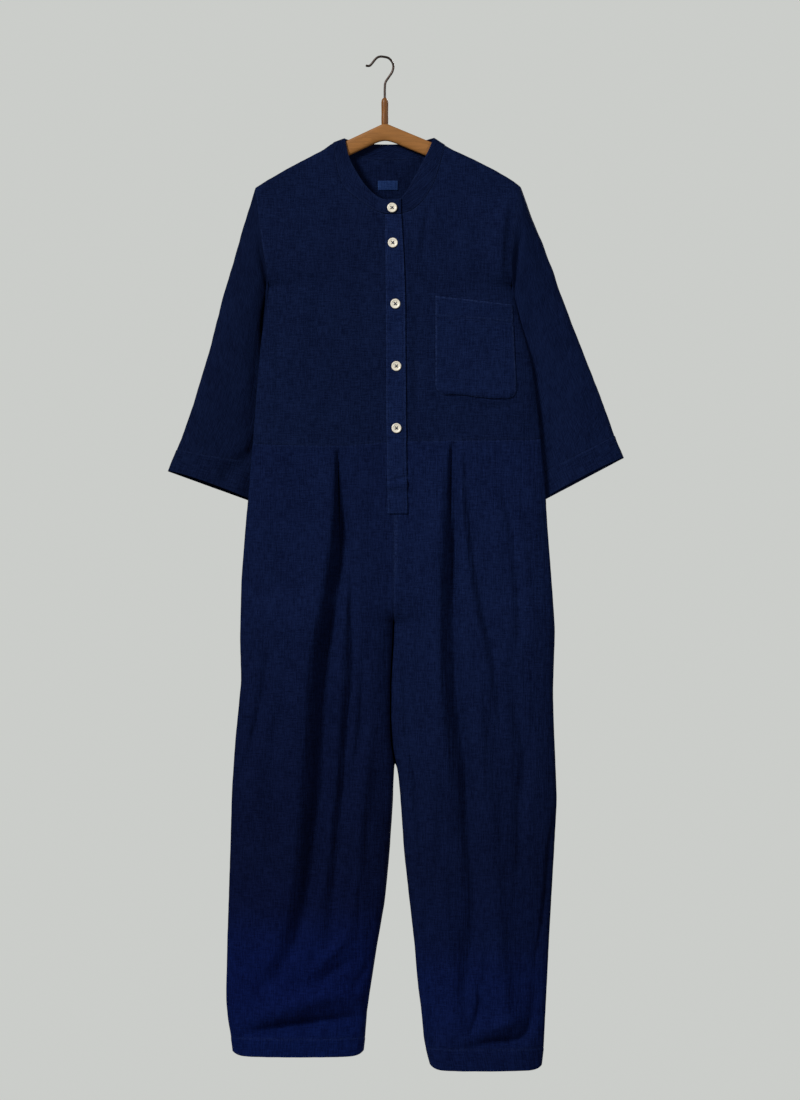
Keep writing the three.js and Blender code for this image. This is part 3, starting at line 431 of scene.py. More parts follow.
# %% [markdown]
# ## From a surface to a piece of cloth
#
# A piece is a grid of places on a surface. Solidify then gives it the thickness of linen with its
# turned edges, growing inwards, so the outside stays where it was worked out. Each piece carries two
# things for its material: a map of its grain, in metres, so that the weave follows the threads, and a
# value that says how much a place is rubbed, which is high along seams and edges.

# %% Making a piece of cloth
def either(is_front, front, back):
    """Points and normals of the front's pair where that holds, and of the back's elsewhere."""
    return tuple(np.where(is_front, f, b) for f, b in zip(front, back))


def spaced(length, step, close=(0.8, 2.0, 3.6)):
    """Shares from 0 to 1 about `step` mm apart, with extra lines close to both ends."""
    inner = np.linspace(0, 1, max(int(length / step), 2) + 1)
    near = np.array(close) / length
    kept = (inner == 0) | (inner == 1) | ((inner > near[-1]) & (inner < 1 - near[-1]))
    return np.unique(np.concatenate([inner[kept], near, 1 - near]))


def along(points, axis):
    """Length in mm from a grid's first row or column to each of its points."""
    step = np.linalg.norm(np.diff(points, axis=axis), axis=2)
    return np.concatenate([np.zeros_like(np.take(step, [0], axis)), np.cumsum(step, axis)], axis)


def faces_of(rows, columns, ring):
    """Four corner numbers for each cell of a grid. A ring's last column joins its first."""
    i, j = np.meshgrid(np.arange(rows - 1), np.arange(columns - (not ring)), indexing="ij")
    k = (j + 1) % columns
    corners = np.stack([i * columns + j, i * columns + k, (i + 1) * columns + k, (i + 1) * columns + j], -1)
    return corners.reshape(-1, 4), np.stack([i, i, i + 1, i + 1], -1), np.stack([j, j + 1, j + 1, j], -1)


def ring_normals(points):
    """Square to a ring grid at each place: across the way down and the way round."""
    return unit(np.cross(np.gradient(points, axis=0), np.roll(points, -1, 1) - np.roll(points, 1, 1)))


def round_grain(points):
    """The grain of a tube or a band: along its rows, and down across them."""
    return np.stack([along(points, 1), -along(points, 0)], -1)


def mesh_piece(name, points, normals, material, ring=True, grain=None, rubbed=None):
    """A mesh object from a grid of points in mm, its faces turned towards the normals."""
    faces, row, column = faces_of(*points.shape[:2], ring)
    flat = points.reshape(-1, 3) * MM
    a, b, c = (flat[faces[:, k]] for k in (0, 1, 2))
    if (np.cross(b - a, c - a) * normals.reshape(-1, 3)[faces[:, 0]]).sum() < 0:
        faces, row, column = faces[:, ::-1], row[..., ::-1], column[..., ::-1]
    mesh = bpy.data.meshes.new(name)
    mesh.vertices.add(len(flat))
    mesh.vertices.foreach_set("co", flat.ravel())
    mesh.loops.add(faces.size)
    mesh.loops.foreach_set("vertex_index", faces.ravel())
    mesh.polygons.add(len(faces))
    mesh.polygons.foreach_set("loop_start", np.arange(0, faces.size, 4))
    mesh.polygons.foreach_set("use_smooth", np.ones(len(faces), bool))
    mesh.update(calc_edges=True)
    if grain is not None:
        wrapped = np.concatenate([grain, 2 * grain[:, -1:] - grain[:, -2:-1]], 1) if ring else grain
        corners = wrapped[row.reshape(-1), column.reshape(-1)] * MM
        mesh.uv_layers.new(name="grain").data.foreach_set("uv", corners.ravel())
    if rubbed is not None:
        worn = mesh.attributes.new("rubbed", "FLOAT", "POINT")
        worn.data.foreach_set("value", rubbed.ravel().astype(np.float32))
    mesh.validate()
    mesh.materials.append(material)
    piece = bpy.data.objects.new(name, mesh)
    bpy.context.collection.objects.link(piece)
    return piece


def enter(piece, slot, *nodes):
    """Every piece rides the one body, and takes the place of the CAD nodes named."""
    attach(piece, "root")
    if nodes:
        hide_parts(*nodes)


def cloth(name, grid, node=None, seams="tbse", thick=CLOTH, ring=False, grain=None,
          sink=0.5, rub=0.35, worn=0.0, material=None, slot="linen"):
    """A cloth piece from a grid of (points, normals). Its sewn edges are named by letter: top, bottom,
    start and end. They sink by `sink` mm, as a seam's stitches pull the cloth in, with small puckers
    beside them, and are rubbed paler. `worn` adds rubbing elsewhere."""
    points, normals = grid
    down, across = along(points, 0), along(points, 1)
    distance = {"t": down, "b": down[-1:] - down, "s": across, "e": across[:, -1:] - across}
    edge = np.min([distance[k] for k in seams], axis=0) if seams else np.full(down.shape, 99.0)
    pucker = rumple(points[..., 0] + points[..., 1], -points[..., 2], 7, 9, 31)
    push = -sink * bell(edge, 1.3) + 0.22 * pucker * bell(edge - 5, 5)
    points = points + normals * push[..., None]
    if grain is None:
        grain = np.stack([points[..., 0], points[..., 2]], -1)
    rubbed = rub * bell(edge - 0.8, 1.4) + worn
    piece = mesh_piece(name, points, normals, material or LINEN, ring, grain, rubbed)
    wall = piece.modifiers.new("thickness", "SOLIDIFY")
    wall.thickness, wall.offset = thick * MM, -1
    enter(piece, slot, node or name.replace("-", "_"))
    deep = float(np.abs(points[..., 1]).max())
    print(name, "has", points.shape[:2], "places, up to", round(deep, 1), "mm off the middle")


print("walls of cloth,", CLOTH, "mm thick; a 20 mm row is spaced as", (20 * spaced(20, 4)).round(1))

# %% [markdown]
# ## Linen
#
# Linen's look is its thread: every thread swells and thins along its length, so the cloth is a fine
# crossing of paler and darker streaks. One noise stretched along the warp and one along the weft give
# those slubs, and the product of two waves gives the plain weave's over and under for the bump. The
# dye is rubbed off where the cloth is thick: a place's `rubbed` value, broken up by noise, fades it.

# %% Materials as recipes
class Recipe:
    """A material's nodes, added one step at a time around its Principled shader."""

    def __init__(self, name):
        self.material = bpy.data.materials.new(name)
        self.material.use_nodes = True
        self.tree = self.material.node_tree
        self.shader = self.tree.nodes["Principled BSDF"]

    def step(self, kind, inputs=None, **settings):
        node = self.tree.nodes.new("ShaderNode" + kind)
        for key, value in settings.items():
            setattr(node, key, value)
        for key, value in (inputs or {}).items():
            self.feed(node.inputs[key], value)
        return node

    def feed(self, socket, value):
        if isinstance(value, bpy.types.NodeSocket):
            self.tree.links.new(value, socket)
        else:
            socket.default_value = value

    def math(self, operation, a, b=0.0):
        return self.step("Math", {0: a, 1: b}, operation=operation).outputs[0]

    def spread(self, value, low, high, to_low=0.0, to_high=1.0):
        return self.step("MapRange", {
            "Value": value, "From Min": low, "From Max": high, "To Min": to_low, "To Max": to_high,
        }).outputs["Result"]

    def weighted(self, *pairs):
        """The sum of the values, each times its share."""
        total, *others = [self.math("MULTIPLY", value, share) for value, share in pairs]
        for part in others:
            total = self.math("ADD", total, part)
        return total

    def mix(self, share, a, b, blend_type="MIX"):
        node = self.step("Mix", {0: share}, data_type="RGBA", blend_type=blend_type)
        self.feed(node.inputs[6], a)
        self.feed(node.inputs[7], b)
        return node.outputs[2]

    def noise(self, vector, scale, detail=3.0, roughness=0.55, dimensions="3D"):
        stretched = self.step("Mapping", {"Vector": vector, "Scale": scale}).outputs[0]
        return self.step("TexNoise", {
            "Vector": stretched, "Scale": 1.0, "Detail": detail, "Roughness": roughness,
        }, noise_dimensions=dimensions).outputs["Fac"]

    def finish(self, colour, rough, bump=None, specular=0.5):
        """Feed the shader its colour and roughness, a bump node if there is one, and its shine."""
        self.feed(self.shader.inputs["Base Color"], colour)
        self.feed(self.shader.inputs["Roughness"], rough)
        self.shader.inputs["Specular IOR Level"].default_value = specular
        if bump:
            self.feed(self.shader.inputs["Normal"], bump.outputs["Normal"])


THREADS = 1620                             # crossings of the weave in a metre
SLUB_FINE, SLUB_LONG = 600, 62             # streaks in a metre, across the thread and along it
NAVY = (0.0012, 0.0031, 0.0155), (0.0040, 0.0091, 0.0360), (0.015, 0.027, 0.080)
BLUE_TAPE = (0.0045, 0.013, 0.056), (0.012, 0.029, 0.096), (0.03, 0.07, 0.17)


def linen(name, tone=1.0, dye_and_painted_shade=None, crinkle=0.0007, colours=NAVY):
    """Plain-weave linen in a deep, a pale and a worn colour, the first two times `tone`: slubs by
    warp and weft, blotched colour, rubbed edges, woven bump over long crinkles `crinkle` metres high.
    `dye_and_painted_shade` holds tones by height in metres, each 0.8 where the cloth keeps its colour:
    painted shade where the legs darken down to the knee, and a bluer cast towards the hems."""
    deep, pale, worn = colours
    r = Recipe(name)
    grain = r.step("UVMap", uv_map="grain").outputs["UV"]
    place = r.step("TexCoord").outputs["Object"]
    warp = r.noise(grain, (SLUB_FINE, SLUB_LONG, 1), 2.5, 0.6, "2D")
    weft = r.noise(grain, (SLUB_LONG, SLUB_FINE, 1), 2.5, 0.6, "2D")
    speck = r.noise(grain, (560, 560, 1), 2.0, 0.6, "2D")
    blotch = r.noise(place, (34, 34, 20), 1.0)
    threads = r.weighted((warp, 0.52), (weft, 0.48))
    mixed = r.weighted((threads, 0.62), (speck, 0.28), (blotch, 0.10))
    colour = r.mix(r.spread(mixed, 0.40, 0.60), *((*[tone * c for c in ends], 1) for ends in (deep, pale)))
    # Painted shade: tones by height darken the legs from the thigh to the knee, and turn them bluer towards
    # the hems.
    if dye_and_painted_shade:
        height = r.step("SeparateXYZ", {"Vector": place}).outputs["Z"]
        share = r.spread(height, dye_and_painted_shade[0][0], dye_and_painted_shade[-1][0])
        ramp = r.step("ValToRGB", {"Fac": share})
        stops = ramp.color_ramp.elements
        for number, (at, dye_and_shade_here) in enumerate(dye_and_painted_shade):
            part = (at - dye_and_painted_shade[0][0]) / (dye_and_painted_shade[-1][0] - dye_and_painted_shade[0][0])
            stop = stops[0] if number == 0 else stops[-1] if number == len(dye_and_painted_shade) - 1 else stops.new(part)
            stop.position, stop.color = part, (*dye_and_shade_here, 1)
        product = r.mix(1.0, colour, ramp.outputs["Color"], "MULTIPLY")
        colour = r.step("VectorMath", {0: product, "Scale": 1.25}, operation="SCALE").outputs[0]
    rubbed = r.step("Attribute", attribute_name="rubbed").outputs["Fac"]
    broken = r.math("MULTIPLY", rubbed, r.spread(r.noise(grain, (240, 240, 1), 3, 0.6, "2D"), 0.38, 0.72))
    colour = r.mix(r.math("MULTIPLY", broken, 0.6), colour, (*worn, 1))
    crossing = [r.step("TexWave", {"Vector": grain, "Scale": THREADS / 20 * 3.1416, "Distortion": 0.0},
                       bands_direction=axis).outputs["Fac"] for axis in ("X", "Y")]
    weave = r.math("MULTIPLY", *[r.spread(wave, 0, 1, -1, 1) for wave in crossing])
    height = r.math("ADD", r.math("MULTIPLY", weave, 0.25), threads)
    long_creases = r.noise(grain, (190, 15, 1), 2.0, 0.5, "2D")
    creased = r.step("Bump", {"Height": long_creases, "Strength": 1.0, "Distance": crinkle})
    bump = r.step("Bump", {"Height": height, "Strength": 0.55, "Distance": 0.0005,
                           "Normal": creased.outputs["Normal"]})
    r.finish(colour, r.spread(threads, 0.3, 0.7, 0.95, 0.82), bump, 0.03)
    return r.material


LINEN = linen("navy linen", 0.91)
# Painted shade by side: the wearer's right faces the key light, so its sleeve and cuff take a darker copy of
# the linen; the left side keeps the full tone.
LINEN_SHADED_BY_SIDE = {
    "right": linen("navy linen of the right side, with painted shade", 0.76),
    "left": linen("navy linen of the left side"),
}
# Painted shade down the legs, more on the right leg, which faces the key light; both turn bluer towards the
# hems.
LEG_LINEN = {
    "right": linen("navy linen, dark at the right knee and bluer at the hem", crinkle=0.0015, dye_and_painted_shade=[
        (-0.60, (0.74, 0.74, 0.80)), (-0.82, (0.74, 0.74, 0.80)), (-1.02, (0.58, 0.55, 0.64)),
        (-1.20, (0.48, 0.45, 0.56)), (-1.27, (0.44, 0.43, 0.62)), (-1.34, (0.38, 0.52, 0.98)),
        (-1.40, (0.36, 0.50, 1.00)), (-1.47, (0.38, 0.58, 1.04))]),
    "left": linen("navy linen, bluer at the left hem", crinkle=0.0015, dye_and_painted_shade=[
        (-0.60, (0.90, 0.90, 0.96)), (-0.82, (0.84, 0.84, 0.88)), (-1.08, (0.68, 0.66, 0.72)),
        (-1.22, (0.56, 0.54, 0.62)), (-1.32, (0.50, 0.54, 0.70)), (-1.38, (0.50, 0.60, 0.94)),
        (-1.44, (0.48, 0.60, 0.94)), (-1.48, (0.46, 0.54, 0.78))]),
}
LINEN_LAID = linen("navy linen, paler where it lies double", 1.32)
LINEN_POCKET = linen("navy linen of the pocket, a little paler", 1.18)
TAPE = linen("woven blue tape", colours=BLUE_TAPE)
print("linen with", THREADS, "crossings a metre")

# %% [markdown]
# ## The collar band and its neckline
#
# The band is one strip that starts under the top button, runs up the right front, crosses the
# shoulder fold, passes round the back and comes down to the left front. Its stations give both of its
# edges, and the bodice pieces read their necklines from the same stations, so they are sewn along one
# line. The face column says whether a station lies on the front (-1), the fold (0) or the back (1).

# %% Stations of the band: face, seam x and drop, free edge x and drop, raise of the lapped end
BAND = np.array([
    (-1, 28, 236, 28, 213, 1), (-1, 16, 236.5, 16, 215, 1), (-1, 4, 235.5, 5, 215, 1),
    (-1, -5, 233.5, -2, 213, 0.35), (-1, -14, 229.5, -10, 208, 0), (-1, -23, 223, -19, 200, 0),
    (-1, -40, 212, -28, 190, 0), (-1, -57.5, 198, -38, 174, 0), (-1, -64, 184, -45, 161, 0),
    (-1, -68, 169, -51, 148, 0), (-1, -71, 149, -53.5, 135, 0), (-1, -72.8, 137, -55, 128, 0),
    (-1, -73.6, 130.5, -55.8, 123.2, 0), (0, -74, 127, -56, 121, 0), (1, -72.5, 129.5, -53.5, 121.6, 0),
    (1, -68, 134.5, -48, 123.4, 0), (1, -55, 142, -34, 127, 0), (1, -26, 151, -15, 128.8, 0),
    (1, 10, 153, 10, 129.2, 0), (1, 47, 151, 35, 128.6, 0), (1, 76, 144, 55, 125.6, 0),
    (1, 88, 138.5, 69, 121.6, 0), (1, 92.5, 133.5, 74, 120.2, 0), (0, 94, 131, 76.5, 120, 0),
    (-1, 93.4, 134.5, 75.6, 122.5, 0), (-1, 92, 141, 73.5, 129, 0), (-1, 89, 152, 67, 144, 0),
    (-1, 82.5, 177, 53, 170, 0), (-1, 72.5, 201, 43, 189, 0), (-1, 55, 224, 35, 203, 0),
    (-1, 40, 233, 29, 211, 0), (-1, 28, 236, 22, 215, 0), (-1, 12, 236.5, 12, 217, 0),
], float)
RIGHT_FOLD, LEFT_FOLD, LAST = 13, 23, len(BAND) - 1
BAND_RAISE = 2.7


def band_at(k):
    """The stations' columns at a fractional number k, with corners rounded within each face."""
    fine = 24
    out = np.empty((len(k), 5))
    for first, last in ((0, RIGHT_FOLD), (RIGHT_FOLD, LEFT_FOLD), (LEFT_FOLD, LAST)):
        at = np.linspace(first, last, (last - first) * fine + 1)
        here = (k >= first) & (k <= last)
        for column in range(5):
            rows = np.stack([at * fine, np.interp(at, np.arange(len(BAND)), BAND[:, column + 1])], 1)
            out[here, column] = line(rows, 12)(k[here] * fine)
    return out


def neckline(start, stop):
    """(x, drop) along the neck seam, t from 0 to 1 running between two stations."""
    return lambda t: band_at(start + (stop - start) * np.asarray(t))[:, :2]


print("band seam", round(float(along(band_at(np.linspace(0, LAST, 400))[None, :, :2], 1).max())), "mm long")

# %% [markdown]
# ## The bodice
#
# Each bodice piece is a patch stretched between its four edges: shoulder and neckline on top, the
# waist seam below, the armhole and side seam, and the centre. Filling in from the edges keeps every
# seam exactly on its line, which pushing a flat sheet into shape would not.

# %% Bodice pieces
def patch(top, bottom, start, end, u, v):
    """Coons patch: the two ruled sheets between opposite edges, added, minus the corners' sheet."""
    t, b, s, e = top(u)[None], bottom(u)[None], start(v)[:, None], end(v)[:, None]
    U, V = u[None, :, None], v[:, None, None]
    corners = blend(blend(t[:, :1], t[:, -1:], U), blend(b[:, :1], b[:, -1:], U), V)
    flat = blend(t, b, V) + blend(s, e, U) - corners
    return flat[..., 0], flat[..., 1]


def shoulder(side):
    """(x, drop) from the shoulder point up to the neck along the top line."""
    first, last = {"right": (-191, -74), "left": (208, 94)}[side]
    def at(t):
        x = first + (last - first) * np.asarray(t)
        return np.stack([x, top_drop(x)], -1)
    return at


def side_edge(side, waist):
    """(x, drop) down the armhole and the side seam, and past the waist seam by the tuck."""
    first = SIDE[side][0][0]
    def at(v):
        drop = first + (waist(side_x[side](WAIST)) + TUCK - first) * v
        return np.stack([side_x[side](drop), drop], -1)
    return at


OVER_FOLD = [0, 0.0016, 0.004, 0.0075, 0.012, 0.017, 0.023, 0.03, 0.038, 0.048, 0.06, 0.073]
DOWN = np.unique(np.concatenate([OVER_FOLD, np.linspace(0.085, 1, 118), 1 - np.array([0.8, 2, 3.6]) / 380]))
LAP_END = {"right": 1.75, "left": 31.1}        # the station where each front stops under the placket
NECK_FROM, NECK_TO = 0.3, 0.7                  # the neckline's part of the back's top edge


def bodice_front(side):
    """Shoulder, then neckline, to the placket, with more columns where the two meet."""
    neck = neckline(RIGHT_FOLD if side == "right" else LEFT_FOLD, LAP_END[side])
    edge, lap = ("left", 3) if side == "right" else ("right", -2.7)
    def top(u):
        on_shoulder = (u <= 0.5)[:, None]
        return np.where(on_shoulder, shoulder(side)(np.minimum(u * 2, 1)), neck(np.clip(u * 2 - 1, 0, 1)))
    last = top(np.array([1.0]))[0]
    def end(v):
        drop = last[1] + (waist_front(last[0]) + TUCK - last[1]) * v
        return np.stack([placket_x[edge](drop) + lap, drop], -1)
    start = side_edge(side, waist_front)
    low_start, low_end = (at(np.array([1.0]))[0, 0] for at in (start, end))
    def bottom(u):
        x = blend(low_start, low_end, u)
        return np.stack([x, waist_front(x) + TUCK], -1)
    u = np.unique(np.concatenate([spaced(215, 2.4), [0.5, 0.496, 0.504]]))
    grid = bodice(-1, *patch(top, bottom, start, end, u, DOWN))
    # The fronts are lit and shaded copies of one linen: the right front, facing the key light, is painted
    # darker than the left.
    cloth("bodice-front-" + side, grid, seams="tbs",
          material=LINEN if side == "right" else LINEN_SHADED_BY_SIDE["left"])


def back_top(u):
    rise = shoulder("right")(np.clip(u / NECK_FROM, 0, 1))
    fall = shoulder("left")(np.clip((1 - u) / NECK_FROM, 0, 1))
    neck = neckline(RIGHT_FOLD, LEFT_FOLD)(np.clip((u - NECK_FROM) / 0.4, 0, 1))
    return np.where((u < NECK_FROM)[:, None], rise, np.where((u > NECK_TO)[:, None], fall, neck))


def back_bottom(u):
    x = blend(side_x["right"](WAIST), side_x["left"](WAIST), u)
    return np.stack([x, waist_back(x) + TUCK], -1)


for side in ("right", "left"):
    bodice_front(side)
columns = np.unique(np.concatenate([spaced(400, 3.0), [NECK_FROM, NECK_TO]]))
edges = back_top, back_bottom, side_edge("right", waist_back), side_edge("left", waist_back)
cloth("bodice-back", bodice(1, *patch(*edges, columns, DOWN)))

# %% [markdown]
# ## The band itself
#
# The band is carried on in the line of the bodice, a little prouder, and its lapped end is lifted over
# the other end. It stands two layers thick, so its free edge is fuller than a plain edge.

# %% The collar band
near_folds = [np.linspace(fold - 1.5, fold + 1.5, 60) for fold in (RIGHT_FOLD, LEFT_FOLD)]
k = np.unique(np.concatenate([np.linspace(0, LAST, 330), *near_folds]))
seam_x, seam_drop, free_x, free_drop, raised = band_at(k).T[:, None]
t = spaced(22, 2.2, (0.6, 1.4, 2.6))[:, None]
place = blend(seam_x, free_x, t), blend(seam_drop, free_drop, t), raised * BAND_RAISE + 0.35
on_front = ((k <= RIGHT_FOLD) | (k >= LEFT_FOLD))[None, :, None]
band_grid = either(on_front, bodice(-1, *place), bodice(1, *place))
cloth("collar-band", band_grid, thick=1.6, grain=round_grain(band_grid[0]))

# %% [markdown]
# ## Sleeves and cuffs
#
# A sleeve is a flattened tube. Its first ring is the armhole, read off the bodice, and the sections
# below give its outer and inner edge, its half depth, and how far back it hangs behind the body. The
# cuff is a wide straight band whose front edge hangs a little above its back edge.

# %% Sleeves and cuffs
# Sections: outer x and drop, inner x and drop, half depth, and y of the middle
SLEEVE = {
    "right": [(-199, 222, -170, 352, 15, 2.5), (-208, 252, -170, 372, 14.5, 7),
              (-224, 303, -172, 400, 14, 12), (-241, 363, -175, 442, 13.5, 15.5),
              (-265, 453, -178, 510, 13, 18), (-293, 543, -180, 573, 13, 19.5),
              (-310.5, 587.5, -183, 611, 13, 20)],
    "left": [(217, 220, 194, 353, 15, 2.5), (229, 250, 196, 374, 14.5, 7), (250, 303, 202, 404, 14, 12),
             (272, 363, 211, 448, 13.5, 15.5), (307, 453, 222, 516, 13, 18), (334, 525, 227, 578, 13, 19.5),
             (349.5, 566.5, 232, 627, 13, 20)],
}
CUFF = {
    "right": [(-310.7, 588, -183.1, 611.5, 13.3, 20), (-317, 604, -185, 640, 14, 20.5),
              (-323, 620, -187, 669, 15, 21)],
    "left": [(349.8, 567, 232.1, 627.5, 13.3, 20), (356, 583, 233, 648, 14, 20.5),
             (363, 600, 234, 668, 15, 21)],
}
CUFF_RISE = 5
INNER_BOXY = {"right": 2.0, "left": 3.4}
# Folds on a sleeve: share of the way down, turn round it in degrees, height, and how wide each way
SLEEVE_FOLDS = {
    "right": [(0.05, 100, -6.5, 0.045, 34), (0.22, 146, -8, 0.26, 22), (0.30, 84, 2.4, 0.24, 26),
              (0.55, 130, -2, 0.25, 18), (0.80, 60, 1.6, 0.20, 22), (0.90, 147, -4.5, 0.04, 9),
              (0.945, 138, -5, 0.035, 9), (0.985, 127, -5, 0.03, 9), (1.015, 115, -5, 0.025, 9),
              (1.045, 104, -5, 0.03, 9), (0.5, 250, 1.2, 0.3, 24), (0.75, 290, -1.0, 0.2, 22)],
    "left": [(0.05, 100, -6, 0.045, 34), (0.12, 138, -3, 0.12, 24), (0.34, 80, 1.6, 0.26, 22),
             (0.52, 128, -2, 0.22, 20), (0.82, 70, 1.6, 0.18, 24), (0.93, 122, -2.4, 0.12, 14),
             (0.60, 150, 4.5, 0.26, 24), (1.0, 152, 4, 0.14, 22), (0.45, 240, 1.2, 0.3, 24),
             (0.78, 300, -1.0, 0.2, 20)],
}


def section_ring(side, row, turn, rise=0.0):
    """A flattened ring: the sine and cosine of the turn, 0 at the outer edge, a quarter at the front.
    Its inner half is boxier where that sleeve lies close behind the body."""
    outer_x, outer_drop, inner_x, inner_drop, depth, y = row
    outer, inner = np.array([outer_x, y, -outer_drop]), np.array([inner_x, y, -inner_drop])
    cos, sin, boxy = np.cos(turn), np.sin(turn), INNER_BOXY[side]
    place = inner + (outer - inner) * (1 + cos)[:, None] / 2
    square = np.sign(sin) * (1 - np.maximum(-cos, 0) ** boxy) ** (1 / boxy)
    place[:, 1] -= depth * np.where(cos < 0, square, sin)
    place[:, 2] += rise * np.maximum(sin, 0)
    normal = unit(outer - inner)[None] * cos[:, None] / (np.linalg.norm(outer - inner) / 2)
    normal[:, 1] -= sin / depth
    return place, unit(normal)


def through(rings, at, share):
    """Rings between the given ones, on a curve through them whose slope at each is its
    neighbours' (Catmull-Rom), so the tube bends softly."""
    rings = np.array(rings)
    i = np.clip(np.searchsorted(at, share, "right") - 1, 0, len(at) - 2)
    t = ((share - at[i]) / (at[i + 1] - at[i]))[:, None, None]
    before, after = np.maximum(i - 1, 0), np.minimum(i + 2, len(at) - 1)
    gap = (at[i + 1] - at[i])[:, None, None]
    slope0 = (rings[i + 1] - rings[before]) / (at[i + 1] - at[before])[:, None, None] * gap
    slope1 = (rings[after] - rings[i]) / (at[after] - at[i])[:, None, None] * gap
    return ((2 * t**3 - 3 * t**2 + 1) * rings[i] + (t**3 - 2 * t**2 + t) * slope0
            + (3 * t**2 - 2 * t**3) * rings[i + 1] + (t**3 - t**2) * slope1)


def sleeve_relief(side, share, turn):
    """The sum of the sleeve's folds: bells in share of the way down and in turn round the tube."""
    total = np.zeros(np.broadcast(share, turn).shape)
    for down, degrees, height, long, wide in SLEEVE_FOLDS[side]:
        off = (np.degrees(turn) - degrees - 40 * (share - down) + 180) % 360 - 180
        total += height * np.exp(-((share - down) / long) ** 2 - (off / wide) ** 2)
    return total


TURN = turns(96)
TURN = TURN - 0.12 * np.sin(2 * TURN)


def armhole_ring(side):
    """The bodice's armhole edge, from the shoulder point down to the underarm and up the back."""
    first = SIDE[side][0][0]
    drop = first + (UNDERARM - first) * (1 - np.cos(TURN)) / 2
    edge = side_x[side](drop), drop
    place, _ = either((np.sin(TURN) >= 0)[:, None], bodice(-1, *edge), bodice(1, *edge))
    place[:, 0] += TUCK if side == "right" else -TUCK
    place[[0, len(TURN) // 2], 1] = 0
    return place


def tube(side):
    """The sleeve's grid, with its folds and crumples, growing from nothing at the armhole."""
    rings = [armhole_ring(side)] + [section_ring(side, row, TURN)[0] for row in SLEEVE[side]]
    middle = np.array([ring.mean(0) for ring in rings])
    at = run_along(middle)
    share = spaced(at[-1], 3.0) * at[-1]
    points = through(rings, at, share)
    normals = ring_normals(points)
    normals = normals * np.sign((normals * (points - points.mean(1, keepdims=True))).sum())
    down = (share / at[-1])[:, None]
    lift = sleeve_relief(side, down, TURN[None])
    lift += 0.6 * rumple(points[..., 0], -points[..., 2], 16, 40, 41 if side == "right" else 43)
    lift += 0.3 * rumple(points[..., 0], -points[..., 2], 8, 11, 45)
    return points + normals * (lift * ease(down / 0.08) * ease((1 - down) / 0.03 + 0.7))[..., None], normals


def cuff_tube(side):
    """The cuff's grid: it carries on the sleeve's folds, and hangs lower behind than in front."""
    shares = spaced(36, 2.4, (0.6, 1.6, 3.0)) * 1.03 - 0.03
    rings = [section_ring(side, row, TURN, CUFF_RISE * i / 2) for i, row in enumerate(CUFF[side])]
    points, normals = (through(part, np.array([0, 0.5, 1.0]), shares) for part in zip(*rings))
    normals = unit(normals)
    lift = 0.5 * rumple(points[..., 0], -points[..., 2], 22, 18, 51)
    lift += sleeve_relief(side, 1 + 0.07 * shares[:, None], TURN[None])
    return points + normals * (0.5 + lift * ease(shares / 0.3 + 0.7)[:, None])[..., None], normals


for side, flat in (("right", (0.36, 0.46)), ("left", (0.37, 0.45))):
    grid, cuff_grid = tube(side), cuff_tube(side)
    cloth("sleeve-" + side, grid, seams="tb", ring=True, grain=round_grain(grid[0]),
          material=LINEN_SHADED_BY_SIDE[side])
    cloth("cuff-" + side, cuff_grid, thick=1.8, seams="t", ring=True,
          grain=round_grain(cuff_grid[0]), material=LINEN_SHADED_BY_SIDE[side])

# %% [markdown]
# ## Trousers
#
# A trouser front is wide at the waist, where its fullness is folded into one pressed pleat. Columns of
# the grid run down along that pleat, so its edge stays crisp however fine or coarse the grid is. The
# hem bands are rings, turned up and stitched, with soft corners where they fold flat.

# %% Trouser pieces
# The folded edge of each pleat, as drop and x
PLEAT = {
    "right": [(570, -67), (640, -69), (700, -69.5), (760, -70), (810, -76), (900, -100), (1010, -112),
              (1160, -120), (1320, -150), (1470, -160)],
    "left": [(570, 107), (628, 103), (680, 101), (743, 100), (800, 102), (900, 106), (1040, 120),
             (1160, 132), (1320, 140), (1485, 146)],
}
PLEAT_LINE = {side: line(rows, 14) for side, rows in PLEAT.items()}
PLEAT_SHARE = 0.43                             # of the columns, those before the pleat


def trouser_panel(side, face, step, row_step):
    """From the centre or inside edge to the side seam, and from the waist to the hem band."""
    waist = waist_front if face < 0 else waist_back
    u = spaced(230, step)
    if face < 0:
        fine = np.array([0, 1, 2, 3, 4.5, 6.5, 9]) / 230
        u = np.unique(np.concatenate([u, PLEAT_SHARE - fine[1:], PLEAT_SHARE + fine]))
    v = spaced(900, row_step)
    waist_x = blend(inside_x[side](LEG_TOP), side_x[side](WAIST), u)
    drop = blend((waist(waist_x) - TUCK)[None], HEM[side][0] + TUCK, v[:, None])
    first = -np.arcsin(parting(drop))
    angle = first + (np.pi / 2 - first) * u[None]
    if face < 0:
        pleat = angle_at(side, PLEAT_LINE[side](drop), drop)
        before, after = u[None] / PLEAT_SHARE, (u[None] - PLEAT_SHARE) / (1 - PLEAT_SHARE)
        angle = np.where(before <= 1, first + (pleat - first) * before, pleat + (np.pi / 2 - pleat) * after)
    return leg(side, face, angle, drop)


for side in ("right", "left"):
    for face, word, step, row_step in ((-1, "front", 2.7, 3.4), (1, "back", 3.6, 4.4)):
        grid = trouser_panel(side, face, step, row_step)
        x, drop = grid[0][..., 0], -grid[0][..., 2]
        centre_seam = bell(x - 20, 2.6) * ease((drop - PLACKET_END) / 8) * ease((CROTCH_START - drop) / 30)
        cloth("trouser-%s-%s" % (word, side), grid,
              material=LEG_LINEN[side], worn=0.7 * centre_seam * (face < 0))

